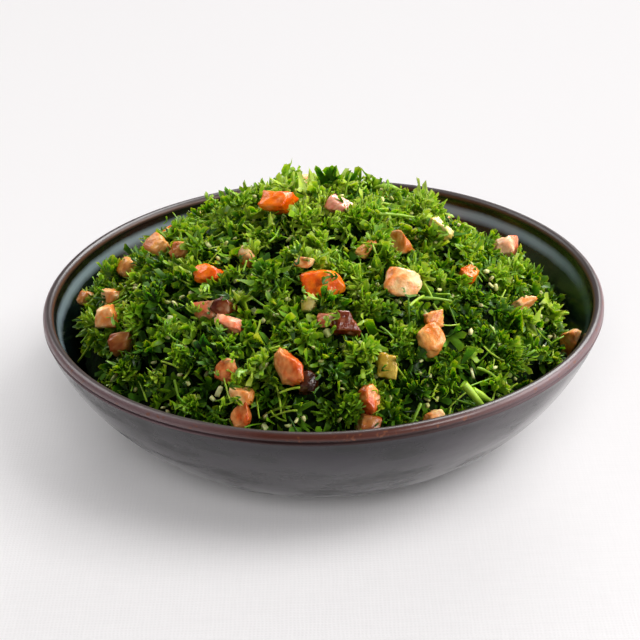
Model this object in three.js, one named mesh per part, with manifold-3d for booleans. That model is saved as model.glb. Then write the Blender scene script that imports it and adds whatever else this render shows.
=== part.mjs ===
// Tabbouleh heaped in a wide, shallow stoneware bowl.
// Millimetres, +Z up. The origin is on the table, under the centre of the bowl's foot ring.
// Two pieces: the thrown bowl, and the salad as one heap. The heap is a bumpy core that fills the
// bowl, with the chopped herb, tomato dice, stalks and bulgur grains that show fused onto it.

import * as THREE from "three";
import { mergeVertices } from "three/addons/utils/BufferGeometryUtils.js";
import Module from "manifold-3d";

const wasm = await Module();
wasm.setup();

// ---- Bowl ---------------------------------------------------------------------------------------

const RIM_RADIUS = 105; // outside of the lip
const BOWL_HEIGHT = 57.5;
const WALL = 4.8;
const FOOT_RADIUS = 48; // outside of the foot ring
const FOOT_HEIGHT = 3;
const FOOT_WIDTH = 6;
const FOOT_CHAMFER = 0.8;
const RECESS_HEIGHT = 2.2; // how far the base inside the foot ring stands off the table
const SHOULDER = 1.36; // a higher power brings the wall upright sooner
const FULLNESS = 1.78; // a higher power makes the base flatter and the belly rounder
const BOWL_SIDES = 44;
const WALL_STEPS = 8;
const LIP_STEPS = 6;

const WALL_TOP = BOWL_HEIGHT - WALL / 2; // where the wall turns into the half-round lip

// ---- Heap ---------------------------------------------------------------------------------------

const FIT_GAP = 0.3; // between the salad and the glaze
const PEAK_ABOVE_RIM = 37; // the bare core; leaves stand a few millimetres higher
const EDGE_BELOW_RIM = 17; // where the core meets the wall
const EDGE_SWAY = 4; // the salad lies higher on one side of the bowl
const EDGE_SWAY_ANGLE = THREE.MathUtils.degToRad(195);
const DOME_POINT = 1.5; // a lower power makes the top more conical
const DOME_EDGE = 0.6; // below 1 the heap ends in a steep shoulder
const CLUMP_SIZE = 17;
const CLUMP_RELIEF = 1.8;
const BUMP_SIZE = 5;
const BUMP_RELIEF = 2.3;
const CORE_RINGS = 16;
const TALLEST = BOWL_HEIGHT + 80; // clear above every leaf

// ---- What shows on the heap ---------------------------------------------------------------------

const LEAVES = { count: 56, shortest: 10, longest: 15, thickness: 0.8, sunk: 0.9 };
const SHREDS = { count: 14, shortest: 9, longest: 14, width: 2.8, thickness: 0.8, sunk: 1.2 };
const DICE = { count: 18, smallest: 7.5, largest: 12, lift: -0.12 };
const STALKS = { count: 8, shortest: 12, longest: 21, radius: 0.75, rise: 0.5 };
const GRAINS = { count: 20, length: 3.2, width: 2.1, rise: 0.45 };
const HEAP_REACH = 0.95; // pieces stay inside this share of the heap's radius
const GOLDEN_ANGLE = Math.PI * (3 - Math.sqrt(5));

// Draws numbers from 0 to 1 in a fixed order (mulberry32).
function drawer(seed) {
  let state = seed;
  return () => {
    state = (state + 0x6d2b79f5) | 0;
    let t = Math.imul(state ^ (state >>> 15), 1 | state);
    t = (t + Math.imul(t ^ (t >>> 7), 61 | t)) ^ t;
    return ((t ^ (t >>> 14)) >>> 0) / 4294967296;
  };
}

const between = (draw, low, high) => low + (high - low) * draw();

// ---- Turning geometry into solids and back ------------------------------------------------------

function solidOf(geometry) {
  const bare = geometry.clone();
  bare.deleteAttribute("normal");
  bare.deleteAttribute("uv");
  const merged = mergeVertices(bare, 1e-4);
  return new wasm.Manifold(
    new wasm.Mesh({
      numProp: 3,
      vertProperties: new Float32Array(merged.attributes.position.array),
      triVerts: new Uint32Array(merged.index.array),
    }),
  );
}

function geometryOf(solid) {
  const mesh = solid.getMesh();
  const geometry = new THREE.BufferGeometry();
  const positions = new Float32Array(mesh.numVert * 3);
  for (let i = 0; i < mesh.numVert; i++) {
    positions.set(mesh.vertProperties.subarray(i * mesh.numProp, i * mesh.numProp + 3), i * 3);
  }
  geometry.setAttribute("position", new THREE.BufferAttribute(positions, 3));
  geometry.setIndex(new THREE.BufferAttribute(new Uint32Array(mesh.triVerts), 1));
  geometry.computeVertexNormals();
  return geometry;
}

// A solid of revolution about Z from a profile of (radius, height) points.
function turned(profile, sides) {
  const lathe = new THREE.LatheGeometry(profile, sides);
  return lathe.rotateX(Math.PI / 2); // the lathe turns about Y
}

// ---- Bowl ---------------------------------------------------------------------------------------

// The outer wall's radius, from 0 at the foot to 1 where the lip starts.
function outerRadius(share) {
  const swell = (1 - (1 - share) ** SHOULDER) ** (1 / FULLNESS);
  return FOOT_RADIUS + (RIM_RADIUS - FOOT_RADIUS) * swell;
}

// A point of the wall, moved inwards from the outer face along its normal by the given depth.
function wallPoint(share, depth) {
  const step = 1e-4;
  const low = Math.max(share - step, 0);
  const high = Math.min(share + step, 1);
  const height = WALL_TOP - FOOT_HEIGHT;
  const run = outerRadius(high) - outerRadius(low);
  const climb = (high - low) * height;
  const length = Math.hypot(run, climb);
  return new THREE.Vector2(
    outerRadius(share) - (depth * climb) / length,
    FOOT_HEIGHT + share * height + (depth * run) / length,
  );
}

// Wall points from the foot up. The square packs them where the wall turns fastest.
function wallCurve(depth, steps) {
  return Array.from({ length: steps + 1 }, (_, i) => wallPoint((i / steps) ** 2, depth));
}

function bowlGeometry() {
  const footInside = FOOT_RADIUS - FOOT_WIDTH;
  const under = [
    new THREE.Vector2(0, RECESS_HEIGHT),
    new THREE.Vector2(footInside, RECESS_HEIGHT),
    new THREE.Vector2(footInside, FOOT_CHAMFER),
    new THREE.Vector2(footInside + FOOT_CHAMFER, 0),
    new THREE.Vector2(FOOT_RADIUS - FOOT_CHAMFER, 0),
    new THREE.Vector2(FOOT_RADIUS, FOOT_CHAMFER),
  ];
  const lipRadius = WALL / 2;
  const lip = Array.from({ length: LIP_STEPS - 1 }, (_, i) => {
    const angle = (Math.PI * (i + 1)) / LIP_STEPS;
    return new THREE.Vector2(
      RIM_RADIUS - lipRadius + lipRadius * Math.cos(angle),
      WALL_TOP + lipRadius * Math.sin(angle),
    );
  });
  const inside = wallCurve(WALL, WALL_STEPS).reverse();
  const floor = new THREE.Vector2(0, inside.at(-1).y);
  return turned([...under, ...wallCurve(0, WALL_STEPS), ...lip, ...inside, floor], BOWL_SIDES);
}

// All the space inside the bowl that salad may take, open upwards.
function insideBowl() {
  const wall = wallCurve(WALL + FIT_GAP, WALL_STEPS);
  const top = wall.at(-1);
  const profile = [
    new THREE.Vector2(0, wall[0].y),
    ...wall,
    new THREE.Vector2(top.x, TALLEST),
    new THREE.Vector2(0, TALLEST),
  ];
  return solidOf(turned(profile, BOWL_SIDES));
}

// The radius of the bowl's inside at a height, found by halving.
function insideRadius(height) {
  let low = 0;
  let high = 1;
  for (let i = 0; i < 24; i++) {
    const middle = (low + high) / 2;
    if (wallPoint(middle, WALL + FIT_GAP).y < height) low = middle;
    else high = middle;
  }
  return wallPoint(low, WALL + FIT_GAP).x;
}

// ---- The heap's surface -------------------------------------------------------------------------

// A repeatable value from -1 to 1 for a corner of a square lattice.
function latticeValue(i, j, seed) {
  const wave = Math.sin(i * 127.1 + j * 311.7 + seed * 74.7) * 43758.5453;
  return 2 * (wave - Math.floor(wave)) - 1;
}

// Smooth noise: lattice values blended between the corners of each square.
function noise(x, y, seed) {
  const i = Math.floor(x);
  const j = Math.floor(y);
  const u = THREE.MathUtils.smoothstep(x - i, 0, 1);
  const v = THREE.MathUtils.smoothstep(y - j, 0, 1);
  const near = THREE.MathUtils.lerp(latticeValue(i, j, seed), latticeValue(i + 1, j, seed), u);
  const far = THREE.MathUtils.lerp(latticeValue(i, j + 1, seed), latticeValue(i + 1, j + 1, seed), u);
  return THREE.MathUtils.lerp(near, far, v);
}

function edgeHeight(angle) {
  return BOWL_HEIGHT - EDGE_BELOW_RIM + EDGE_SWAY * Math.cos(angle - EDGE_SWAY_ANGLE);
}

const EDGE_RADIUS = insideRadius(BOWL_HEIGHT - EDGE_BELOW_RIM);

// The mound's height over a point of the plan: a dome from the wall to the peak, with soft clumps.
function moundHeight(x, y) {
  const edge = edgeHeight(Math.atan2(y, x));
  const share = Math.min(Math.hypot(x, y) / EDGE_RADIUS, 1);
  const dome = (1 - share ** DOME_POINT) ** DOME_EDGE;
  const clump = CLUMP_RELIEF * noise(x / CLUMP_SIZE, y / CLUMP_SIZE, 1);
  return edge + (BOWL_HEIGHT + PEAK_ABOVE_RIM - edge) * dome + clump;
}

// The core's height: the mound with bumps the size of the chopped leaves in it.
function heapHeight(x, y) {
  return moundHeight(x, y) + BUMP_RELIEF * noise(x / BUMP_SIZE, y / BUMP_SIZE, 2);
}

function moundNormal(x, y) {
  const reach = 1;
  return new THREE.Vector3(
    moundHeight(x - reach, y) - moundHeight(x + reach, y),
    moundHeight(x, y - reach) - moundHeight(x, y + reach),
    2 * reach,
  ).normalize();
}

// The core before it is cut to the bowl: ring k of the plan holds 6k points, so that the triangles
// are even, and a skirt drops from the last ring to a flat underside.
function coreBlock() {
  const points = [new THREE.Vector3(0, 0, heapHeight(0, 0))];
  const ringStart = (k) => 1 + 3 * k * (k - 1);
  const overshoot = 1.06; // reaches into the wall, where the cut to the bowl ends it
  for (let k = 1; k <= CORE_RINGS; k++) {
    const radius = (EDGE_RADIUS * overshoot * k) / CORE_RINGS;
    for (let j = 0; j < 6 * k; j++) {
      const angle = (j / (6 * k)) * 2 * Math.PI;
      const x = radius * Math.cos(angle);
      const y = radius * Math.sin(angle);
      points.push(new THREE.Vector3(x, y, heapHeight(x, y)));
    }
  }
  const faces = [];
  for (let k = 1; k <= CORE_RINGS; k++) {
    for (let side = 0; side < 6; side++) {
      for (let j = 0; j < k; j++) {
        const outer = ringStart(k) + ((side * k + j) % (6 * k));
        const outerNext = ringStart(k) + ((side * k + j + 1) % (6 * k));
        const inner = k === 1 ? 0 : ringStart(k - 1) + ((side * (k - 1) + j) % (6 * (k - 1)));
        faces.push(inner, outer, outerNext);
        if (j === k - 1) continue;
        const innerNext = ringStart(k - 1) + ((side * (k - 1) + j + 1) % (6 * (k - 1)));
        faces.push(inner, outerNext, innerNext);
      }
    }
  }
  const rimCount = 6 * CORE_RINGS;
  const rimStart = ringStart(CORE_RINGS);
  const skirtStart = points.length;
  for (let j = 0; j < rimCount; j++) {
    points.push(points[rimStart + j].clone().setZ(0));
  }
  const under = points.length;
  points.push(new THREE.Vector3(0, 0, 0));
  for (let j = 0; j < rimCount; j++) {
    const next = (j + 1) % rimCount;
    faces.push(rimStart + j, skirtStart + j, rimStart + next);
    faces.push(rimStart + next, skirtStart + j, skirtStart + next);
    faces.push(under, skirtStart + next, skirtStart + j);
  }
  const geometry = new THREE.BufferGeometry().setFromPoints(points);
  return solidOf(geometry.setIndex(faces));
}

// ---- Pieces -------------------------------------------------------------------------------------

// A thin closed solid between two sheets that share one ring of edge points, anticlockwise seen
// from above. The sheet is a flat list of triangle corners, and both faces use it alike.
function thinSolid(ring, sheet, thickness) {
  const half = new THREE.Vector3(0, 0, thickness / 2);
  const count = ring.length;
  const upper = ring.map((p) => p.clone().add(half));
  const lower = ring.map((p) => p.clone().sub(half));
  const faces = [...sheet];
  for (let i = 0; i < sheet.length; i += 3) {
    faces.push(count + sheet[i], count + sheet[i + 2], count + sheet[i + 1]);
  }
  for (let i = 0; i < count; i++) {
    const next = (i + 1) % count;
    faces.push(i, count + i, next);
    faces.push(next, count + i, count + next);
  }
  return new THREE.BufferGeometry().setFromPoints([...upper, ...lower]).setIndex(faces);
}

// A parsley leaflet: a fan of three lobes that opens along +X from its stalk end, with its edge
// ruffled up and down.
function leafGeometry(length, draw) {
  const spread = THREE.MathUtils.degToRad(between(draw, 52, 66));
  const phase = between(draw, 0, 2 * Math.PI);
  const curl = between(draw, 0.04, 0.1) * length;
  const cup = between(draw, -0.2, 0.15) * length;
  const ring = [new THREE.Vector3(0, 0, 0)];
  const half = 4; // edge points on each side of the middle lobe's tip
  for (let i = -half; i <= half; i++) {
    const angle = (i / half) * spread;
    const notch = 0.5 - 0.5 * Math.cos((Math.PI * i) / 2); // 0 at the lobe tips, 1 between them
    const reach = length * (1 - 0.2 * (i / half) ** 2) * (1 - 0.34 * notch);
    const ruffle = curl * Math.sin(1.6 * i + phase) + cup * (reach / length) ** 2;
    ring.push(new THREE.Vector3(reach * Math.cos(angle), reach * Math.sin(angle), ruffle));
  }
  const fan = ring.slice(2).flatMap((_, i) => [0, i + 1, i + 2]);
  return thinSolid(ring, fan, LEAVES.thickness);
}

// A chopped strip of leaf that twists and arches along +X.
function shredGeometry(length, draw) {
  const steps = 3;
  const bend = between(draw, 0.1, 0.3) * length;
  const twist = between(draw, -1.2, 1.2);
  const near = [];
  const far = [];
  for (let i = 0; i <= steps; i++) {
    const share = i / steps;
    const half = (SHREDS.width / 2) * (0.55 + 0.45 * Math.sin(Math.PI * (0.15 + 0.7 * share)));
    const roll = twist * share;
    const across = new THREE.Vector3(0, half * Math.cos(roll), half * Math.sin(roll));
    const middle = new THREE.Vector3(length * share, 0, bend * Math.sin(Math.PI * share));
    near.push(middle.clone().sub(across));
    far.unshift(middle.clone().add(across));
  }
  const last = 2 * steps + 1; // the far edge runs back from here to the start
  const strip = near.slice(1).flatMap((_, i) => [i, i + 1, last - i, i + 1, last - i - 1, last - i]);
  return thinSolid([...near, ...far], strip, SHREDS.thickness);
}

// A hand-cut cube of tomato: rounded a little, with its corners pulled about.
function dieGeometry(size, draw) {
  const box = new THREE.BoxGeometry(1, 1, 1, 2, 2, 1);
  box.deleteAttribute("normal");
  box.deleteAttribute("uv");
  const die = mergeVertices(box);
  const stretch = new THREE.Vector3(
    size * between(draw, 0.85, 1.2),
    size * between(draw, 0.75, 1.05),
    size * between(draw, 0.55, 0.8),
  );
  const places = die.attributes.position;
  const point = new THREE.Vector3();
  for (let i = 0; i < places.count; i++) {
    point.fromBufferAttribute(places, i);
    point.multiplyScalar(1 - 0.35 * Math.max(point.length() - 0.6, 0));
    point.x += between(draw, -0.09, 0.09);
    point.y += between(draw, -0.09, 0.09);
    point.z += between(draw, -0.09, 0.09);
    point.multiply(stretch);
    places.setXYZ(i, point.x, point.y, point.z);
  }
  return die;
}

// A short stem that lies bent in a shallow arc.
function stalkGeometry(length, draw) {
  const bend = between(draw, -0.18, 0.18) * length;
  const arch = between(draw, 0.04, 0.12) * length;
  const path = new THREE.QuadraticBezierCurve3(
    new THREE.Vector3(-length / 2, 0, -arch),
    new THREE.Vector3(0, bend, arch),
    new THREE.Vector3(length / 2, 0, -arch),
  );
  const sides = 6;
  const section = new THREE.Shape(
    Array.from({ length: sides }, (_, i) => {
      const angle = (i / sides) * 2 * Math.PI;
      return new THREE.Vector2(Math.cos(angle), Math.sin(angle)).multiplyScalar(STALKS.radius);
    }),
  );
  return new THREE.ExtrudeGeometry(section, { steps: 3, extrudePath: path });
}

function grainGeometry(draw) {
  const grain = new THREE.SphereGeometry(0.5, 5, 4);
  return grain.scale(GRAINS.length * between(draw, 0.8, 1.15), GRAINS.width, GRAINS.width * 0.9);
}

// ---- Setting pieces on the heap -----------------------------------------------------------------

// Places spread evenly over the heap in a sunflower pattern, each turned and tipped by the draw.
// Offset turns one kind's pattern against the others'.
function* placesOnHeap(count, offset, tip, draw) {
  for (let i = 0; i < count; i++) {
    const share = HEAP_REACH * Math.sqrt((i + 0.5) / count);
    const angle = i * GOLDEN_ANGLE + offset;
    const x = share * EDGE_RADIUS * Math.cos(angle);
    const y = share * EDGE_RADIUS * Math.sin(angle);
    const normal = moundNormal(x, y);
    const upright = new THREE.Quaternion().setFromUnitVectors(new THREE.Vector3(0, 0, 1), normal);
    const turn = new THREE.Quaternion().setFromEuler(
      new THREE.Euler(0, -between(draw, tip[0], tip[1]), between(draw, 0, 2 * Math.PI), "ZYX"),
    );
    yield { spot: new THREE.Vector3(x, y, heapHeight(x, y)), normal, turn: upright.multiply(turn) };
  }
}

function placed(geometry, place, lift) {
  const spot = place.spot.clone().addScaledVector(place.normal, lift);
  const matrix = new THREE.Matrix4().compose(spot, place.turn, new THREE.Vector3(1, 1, 1));
  return { solid: solidOf(geometry.applyMatrix4(matrix)), spot };
}

const degrees = (low, high) => [THREE.MathUtils.degToRad(low), THREE.MathUtils.degToRad(high)];

function dice(draw) {
  return [...placesOnHeap(DICE.count, 0.7, degrees(-25, 25), draw)].map((place) => {
    const size = between(draw, DICE.smallest, DICE.largest);
    const die = placed(dieGeometry(size, draw), place, size * DICE.lift);
    return { ...die, size };
  });
}

// Leaves root in the core and rise from it. One that would run into a die is left out.
function leaves(draw, taken) {
  const made = [];
  for (const place of placesOnHeap(LEAVES.count, 0, degrees(2, 26), draw)) {
    const length = between(draw, LEAVES.shortest, LEAVES.longest);
    const leaf = placed(leafGeometry(length, draw), place, -LEAVES.sunk);
    const crowded = taken.some((die) => die.spot.distanceTo(place.spot) < die.size * 0.55);
    if (!crowded) made.push(leaf);
  }
  return made;
}

function shreds(draw) {
  return [...placesOnHeap(SHREDS.count, 2.2, degrees(5, 30), draw)].map((place) => {
    const length = between(draw, SHREDS.shortest, SHREDS.longest);
    return placed(shredGeometry(length, draw), place, -SHREDS.sunk);
  });
}

function stalks(draw) {
  return [...placesOnHeap(STALKS.count, 1.3, degrees(-6, 6), draw)].map((place) => {
    const length = between(draw, STALKS.shortest, STALKS.longest);
    return placed(stalkGeometry(length, draw), place, STALKS.rise);
  });
}

function grains(draw) {
  return [...placesOnHeap(GRAINS.count, 4.1, degrees(-30, 30), draw)].map((place) =>
    placed(grainGeometry(draw), place, GRAINS.rise),
  );
}

// The heap: everything fused, cut to the bowl, and the one closed outer body of it kept, which
// drops loose scraps and fills any hollow that fusing seals.
function saladGeometry() {
  const draw = drawer(20240611);
  const tomato = dice(draw);
  const pieces = [...tomato, ...leaves(draw, tomato), ...shreds(draw), ...stalks(draw), ...grains(draw)];
  let heap = coreBlock();
  for (const piece of pieces) heap = heap.add(piece.solid);
  heap = heap.intersect(insideBowl());
  const bodies = heap.decompose().sort((a, b) => b.volume() - a.volume());
  return geometryOf(bodies[0]);
}

// ---- The object ---------------------------------------------------------------------------------

function piece(name, geometry, colour, roughness) {
  const material = new THREE.MeshStandardMaterial({ color: colour, roughness, metalness: 0 });
  const mesh = new THREE.Mesh(geometry, material);
  mesh.name = name;
  return mesh;
}

const tabbouleh = new THREE.Group();
tabbouleh.add(piece("bowl", geometryOf(solidOf(bowlGeometry())), 0x4a494d, 0.35));
tabbouleh.add(piece("salad", saladGeometry(), 0x3f6b1e, 0.6));

export default tabbouleh;
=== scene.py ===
"""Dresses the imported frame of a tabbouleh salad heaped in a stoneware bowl.

The bowl is one fine turned surface under a fired glaze. The salad is a dark core with curly
parsley, tomato, stalks, onion and bulgur over it, and each kind is one joined mesh. Shapes are
worked out in millimetres, as whole arrays, and put_mesh turns them into metres.
"""

import logging
from dataclasses import dataclass
from enum import Enum, IntEnum
from functools import reduce

import bpy
import numpy as np
from mathutils import Matrix, Vector


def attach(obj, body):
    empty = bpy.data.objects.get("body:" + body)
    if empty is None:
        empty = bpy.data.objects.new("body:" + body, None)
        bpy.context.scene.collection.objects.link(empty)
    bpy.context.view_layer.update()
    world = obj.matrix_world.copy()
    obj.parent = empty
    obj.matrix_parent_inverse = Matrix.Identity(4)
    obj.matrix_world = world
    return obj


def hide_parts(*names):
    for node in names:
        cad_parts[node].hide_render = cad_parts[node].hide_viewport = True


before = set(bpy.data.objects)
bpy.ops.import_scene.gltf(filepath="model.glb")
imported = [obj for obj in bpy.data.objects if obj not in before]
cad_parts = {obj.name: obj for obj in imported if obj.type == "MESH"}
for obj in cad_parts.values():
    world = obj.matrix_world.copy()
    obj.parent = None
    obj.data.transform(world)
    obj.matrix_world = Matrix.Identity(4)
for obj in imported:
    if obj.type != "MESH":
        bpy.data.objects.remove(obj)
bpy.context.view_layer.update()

LOG = logging.getLogger("tabbouleh")
MM = 0.001
SEED = 4127
GOLDEN_ANGLE = np.pi * (3 - np.sqrt(5))
NOISE_WAVES = 18
NOISE_LENGTHS = (0.7, 1.6)  # the waves' lengths, as shares of the middle one
NOISE_LEVEL = 1.2  # nearly all sums of the waves lie between minus and plus this
STRAIGHT = 1e-4  # a curvature below this is rolled as this one
TONE_SHAPE = (1.6, 1.9)  # the beta draw of a piece's own tone
HOLLOW_DEPTH = 6.2  # how far the parsley is pushed down under the middle of a larger piece
HOLLOW_SLOPE = 1.6  # how soon, going inwards, it has come down that far
LEANING_REACH = (0.9, 1.5)  # how far from a lump's middle leaning pieces start, in its radii
# painted light on the pieces that lie on top
LEANING_PAINTED_LIGHT = 0.1  # how much brighter they are, as they lie on top

Array = np.ndarray
Random = np.random.Generator
Thing = bpy.types.Object
Material = bpy.types.Material
Socket = bpy.types.NodeSocket
Span = tuple[float, float]  # a least and a most value
Pixel = tuple[float, float]  # across from the left and down from the top
Size = tuple[float, float, float]  # lengths or factors along X, Y and Z
Colour = tuple[float, float, float]  # screen values from 0 to 255


# ---- Numbers ----


class Draw(IntEnum):
    """The random sources, one for each kind, so that a change to one leaves the others alone."""

    FRILLS = 10
    TUFTS = 12
    STRANDS = 20
    STALKS = 25
    BLOCKS = 30
    FAR_DICE = 40
    DICE = 41
    GRAINS = 50
    NOISE = 90


class Pattern(IntEnum):
    """The seeds of the uneven patterns."""

    WALL = 1
    CLUMPS = 2
    LUMPS = 3
    CRUMBS = 4
    DICE = 7
    PALE = 8
    PALE_FINE = 9
    VEINS = 10
    GRAINS = 60


def draws(source: Draw, *key: int) -> Random:
    """A random source that gives the same draws for the same key on every run."""
    return np.random.default_rng([SEED, int(source), *key])


def linear(colour: Colour) -> Array:
    """The linear value of a screen colour: share / 12.92, or ((share + 0.055) / 1.055) ^ 2.4."""
    share = np.asarray(colour, float) / 255
    return np.where(share <= 0.04045, share / 12.92, ((share + 0.055) / 1.055) ** 2.4)


def smoothstep(share: Array) -> Array:
    """A soft rise from 0 to 1: share ^ 2 (3 - 2 share)."""
    return share ** 2 * (3 - 2 * share)


def unit(vectors: Array) -> Array:
    """The vectors, along the last axis, scaled to a length of one."""
    return vectors / np.linalg.norm(vectors, axis=-1, keepdims=True)


def soft_noise(points: Array, size: float, seed: int) -> Array:
    """Smooth unevenness, nearly all of it between -1 and 1.

    It is a sum of sine waves that each run in their own direction with their own phase, and whose
    lengths lie around the given size.

    Args:
        points: places, with the coordinates last.
        size: the middle wave length, in the places' own unit.
        seed: picks the set of waves.

    Returns:
        One value for each place.
    """
    rng = draws(Draw.NOISE, seed)
    directions = unit(rng.normal(size=(NOISE_WAVES, points.shape[-1])))
    lengths = size * rng.uniform(*NOISE_LENGTHS, NOISE_WAVES)
    phases = rng.uniform(0, 2 * np.pi, NOISE_WAVES)
    turns = points @ (2 * np.pi * directions / lengths[:, None]).T + phases
    return np.sin(turns).sum(axis=-1) / np.sqrt(NOISE_WAVES) / NOISE_LEVEL


def roll_up(along: Array, off: Array, curvature: Array) -> tuple[Array, Array]:
    """Rolls a flat direction into an arc.

    With radius = 1 / curvature, a point goes to (radius - off) times the sine of its arc, and to
    radius - (radius - off) times the cosine of it.

    Args:
        along: the distance along the flat direction.
        off: the distance above it.
        curvature: one over the arc's radius.

    Returns:
        The new distances along and above.
    """
    safe = np.where(np.abs(curvature) < STRAIGHT, STRAIGHT, curvature)
    radius = 1 / safe
    arc = along * safe
    return (radius - off) * np.sin(arc), radius - (radius - off) * np.cos(arc)


def about(axis: int, angle: Array) -> Array:
    """Rotation matrices about one of the three axes.

    Args:
        axis: 0, 1 or 2 for X, Y or Z.
        angle: one angle for each matrix, in radians.

    Returns:
        One 3 x 3 matrix an angle.
    """
    turn = np.zeros((len(angle), 3, 3))
    one, two = (axis + 1) % 3, (axis + 2) % 3
    turn[:, axis, axis] = 1
    turn[:, one, one] = turn[:, two, two] = np.cos(angle)
    turn[:, two, one] = np.sin(angle)
    turn[:, one, two] = -np.sin(angle)
    return turn


def turned_frames(normals: Array, spin: Array, tilt: Array, roll: Array) -> Array:
    """A frame for each piece: across, along and up, as the columns of a matrix.

    The piece is rolled about its length, tilted about its width, turned about its up direction, and
    then stood on the surface's own normal.

    Args:
        normals: the surface's unit normals, one row a piece.
        spin: turn about the normal, in radians.
        tilt: how far the far end is lifted, in radians.
        roll: turn about the piece's own length, in radians.

    Returns:
        One 3 x 3 matrix a piece.
    """
    helper = np.where(np.abs(normals[:, :1]) < 0.9, [[1.0, 0.0, 0.0]], [[0.0, 1.0, 0.0]])
    first = unit(np.cross(normals, helper))
    second = np.cross(normals, first)
    stand = np.stack([first, second, normals], axis=-1)
    return stand @ about(2, spin) @ about(0, tilt) @ about(1, roll)


# ---- Meshes ----


@dataclass
class Batch:
    """Many pieces of one kind: their points, the faces of one piece, and what the finish reads.

    Attributes:
        points: pieces x points x 3, in millimetres.
        faces: triangles of one piece, as rows of three point numbers.
        tint: pieces x points x 3 linear colours.
        rim: whether a point of one piece lies on its sharp edge.
    """

    points: Array
    faces: Array
    tint: Array
    rim: Array

    def joined(self) -> tuple[Array, Array, Array, Array]:
        """Joins the pieces.

        Returns:
            The points, the triangles, and the points' colours and rim marks.
        """
        pieces, each = self.points.shape[:2]
        faces = (self.faces[None] + np.arange(pieces)[:, None, None] * each).reshape(-1, 3)
        rim = np.tile(self.rim, pieces)
        return self.points.reshape(-1, 3), faces, self.tint.reshape(-1, 3), rim


def put_mesh(name: str, points: Array, faces: Array, tint: Array | None = None,
             sharp: Array | None = None, floats: dict[str, Array] | None = None) -> Thing:
    """Makes an object from arrays.

    Args:
        name: the piece's name.
        points: rows of x, y, z in millimetres.
        faces: rows of three or four point numbers.
        tint: a linear colour for each point, kept as the attribute "tint".
        sharp: marks the points whose joining edges are sharp.
        floats: further attributes, one number a point.

    Returns:
        The object, linked to the scene, at the origin.
    """
    mesh = bpy.data.meshes.new(name)
    mesh.vertices.add(len(points))
    mesh.vertices.foreach_set("co", (points * MM).astype(np.float32).ravel())
    mesh.loops.add(faces.size)
    mesh.loops.foreach_set("vertex_index", faces.astype(np.int32).ravel())
    mesh.polygons.add(len(faces))
    starts = np.arange(0, faces.size, faces.shape[1], dtype=np.int32)
    mesh.polygons.foreach_set("loop_start", starts)
    mesh.update(calc_edges=True)
    mesh.shade_smooth()
    if sharp is not None:
        ends = np.zeros(len(mesh.edges) * 2, np.int32)
        mesh.edges.foreach_get("vertices", ends)
        marks = sharp[ends.reshape(-1, 2)].all(axis=1)
        mesh.attributes.new("sharp_edge", "BOOLEAN", "EDGE").data.foreach_set("value", marks)
    if tint is not None:
        rgba = np.concatenate([tint, np.ones((len(tint), 1))], axis=1).astype(np.float32)
        mesh.attributes.new("tint", "FLOAT_COLOR", "POINT").data.foreach_set("color", rgba.ravel())
    for key, values in (floats or {}).items():
        layer = mesh.attributes.new(key, "FLOAT", "POINT")
        layer.data.foreach_set("value", values.astype(np.float32))
    mesh.validate()
    piece = bpy.data.objects.new(name, mesh)
    bpy.context.scene.collection.objects.link(piece)
    return piece


def put_piece(piece: Thing, finish: Material, node: str) -> None:
    """Gives a piece its finish, lets it ride, and lets it stand for its CAD node.

    Args:
        piece: the piece.
        finish: its material.
        node: the CAD node that it stands for.
    """
    piece.data.materials.append(finish)
    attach(piece, "root")
    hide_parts(node)
    LOG.info("%s: %d faces", piece.name, len(piece.data.polygons))


def band_faces(low: Array, high: Array) -> Array:
    """Triangles between two rings of points that run anticlockwise.

    Args:
        low: the lower ring's point numbers.
        high: those of the ring above it.

    Returns:
        Rows of three point numbers, facing outwards.
    """
    low_next, high_next = np.roll(low, -1), np.roll(high, -1)
    first = np.stack([low, low_next, high_next], axis=1)
    second = np.stack([low, high_next, high], axis=1)
    return np.concatenate([first, second])


def tube_layout(steps: int, sides: int) -> Array:
    """Triangles of a closed tube, numbered ring by ring, with the middles of its two ends last.

    Args:
        steps: bands between the first ring and the last one.
        sides: points on each ring.

    Returns:
        Rows of three point numbers, facing outwards.
    """
    numbers = np.arange((steps + 1) * sides).reshape(steps + 1, sides)
    bands = [band_faces(low, high) for low, high in zip(numbers[:-1], numbers[1:])]
    first, last = numbers[0], numbers[-1]
    foot = np.stack([np.full(sides, numbers.size), np.roll(first, -1), first], axis=1)
    cap = np.stack([np.full(sides, numbers.size + 1), last, np.roll(last, -1)], axis=1)
    return np.concatenate([*bands, foot, cap])


def turned_surface(profile: Array, segments: int) -> tuple[Array, Array]:
    """A surface of revolution about Z, closed at both ends.

    Point (i, j) is profile point i at the angle 2 pi j / segments. The first and last profile
    points lie on the axis and are one point each.

    Args:
        profile: rows of radius and height, from the underside's middle round to the top's.
        segments: points on each ring.

    Returns:
        The points and the triangles, facing outwards.
    """
    angles = np.arange(segments) * 2 * np.pi / segments
    rings = profile[1:-1]
    around = np.stack([np.cos(angles), np.sin(angles)], axis=1)
    flat = rings[:, None, :1] * around[None]
    heights = np.broadcast_to(rings[:, None, 1:], (len(rings), segments, 1))
    body = np.concatenate([flat, heights], axis=2).reshape(-1, 3)
    points = np.concatenate([body, [[0, 0, profile[0, 1]], [0, 0, profile[-1, 1]]]])
    return points, tube_layout(len(rings) - 1, segments)


# ---- Bowl ----


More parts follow.
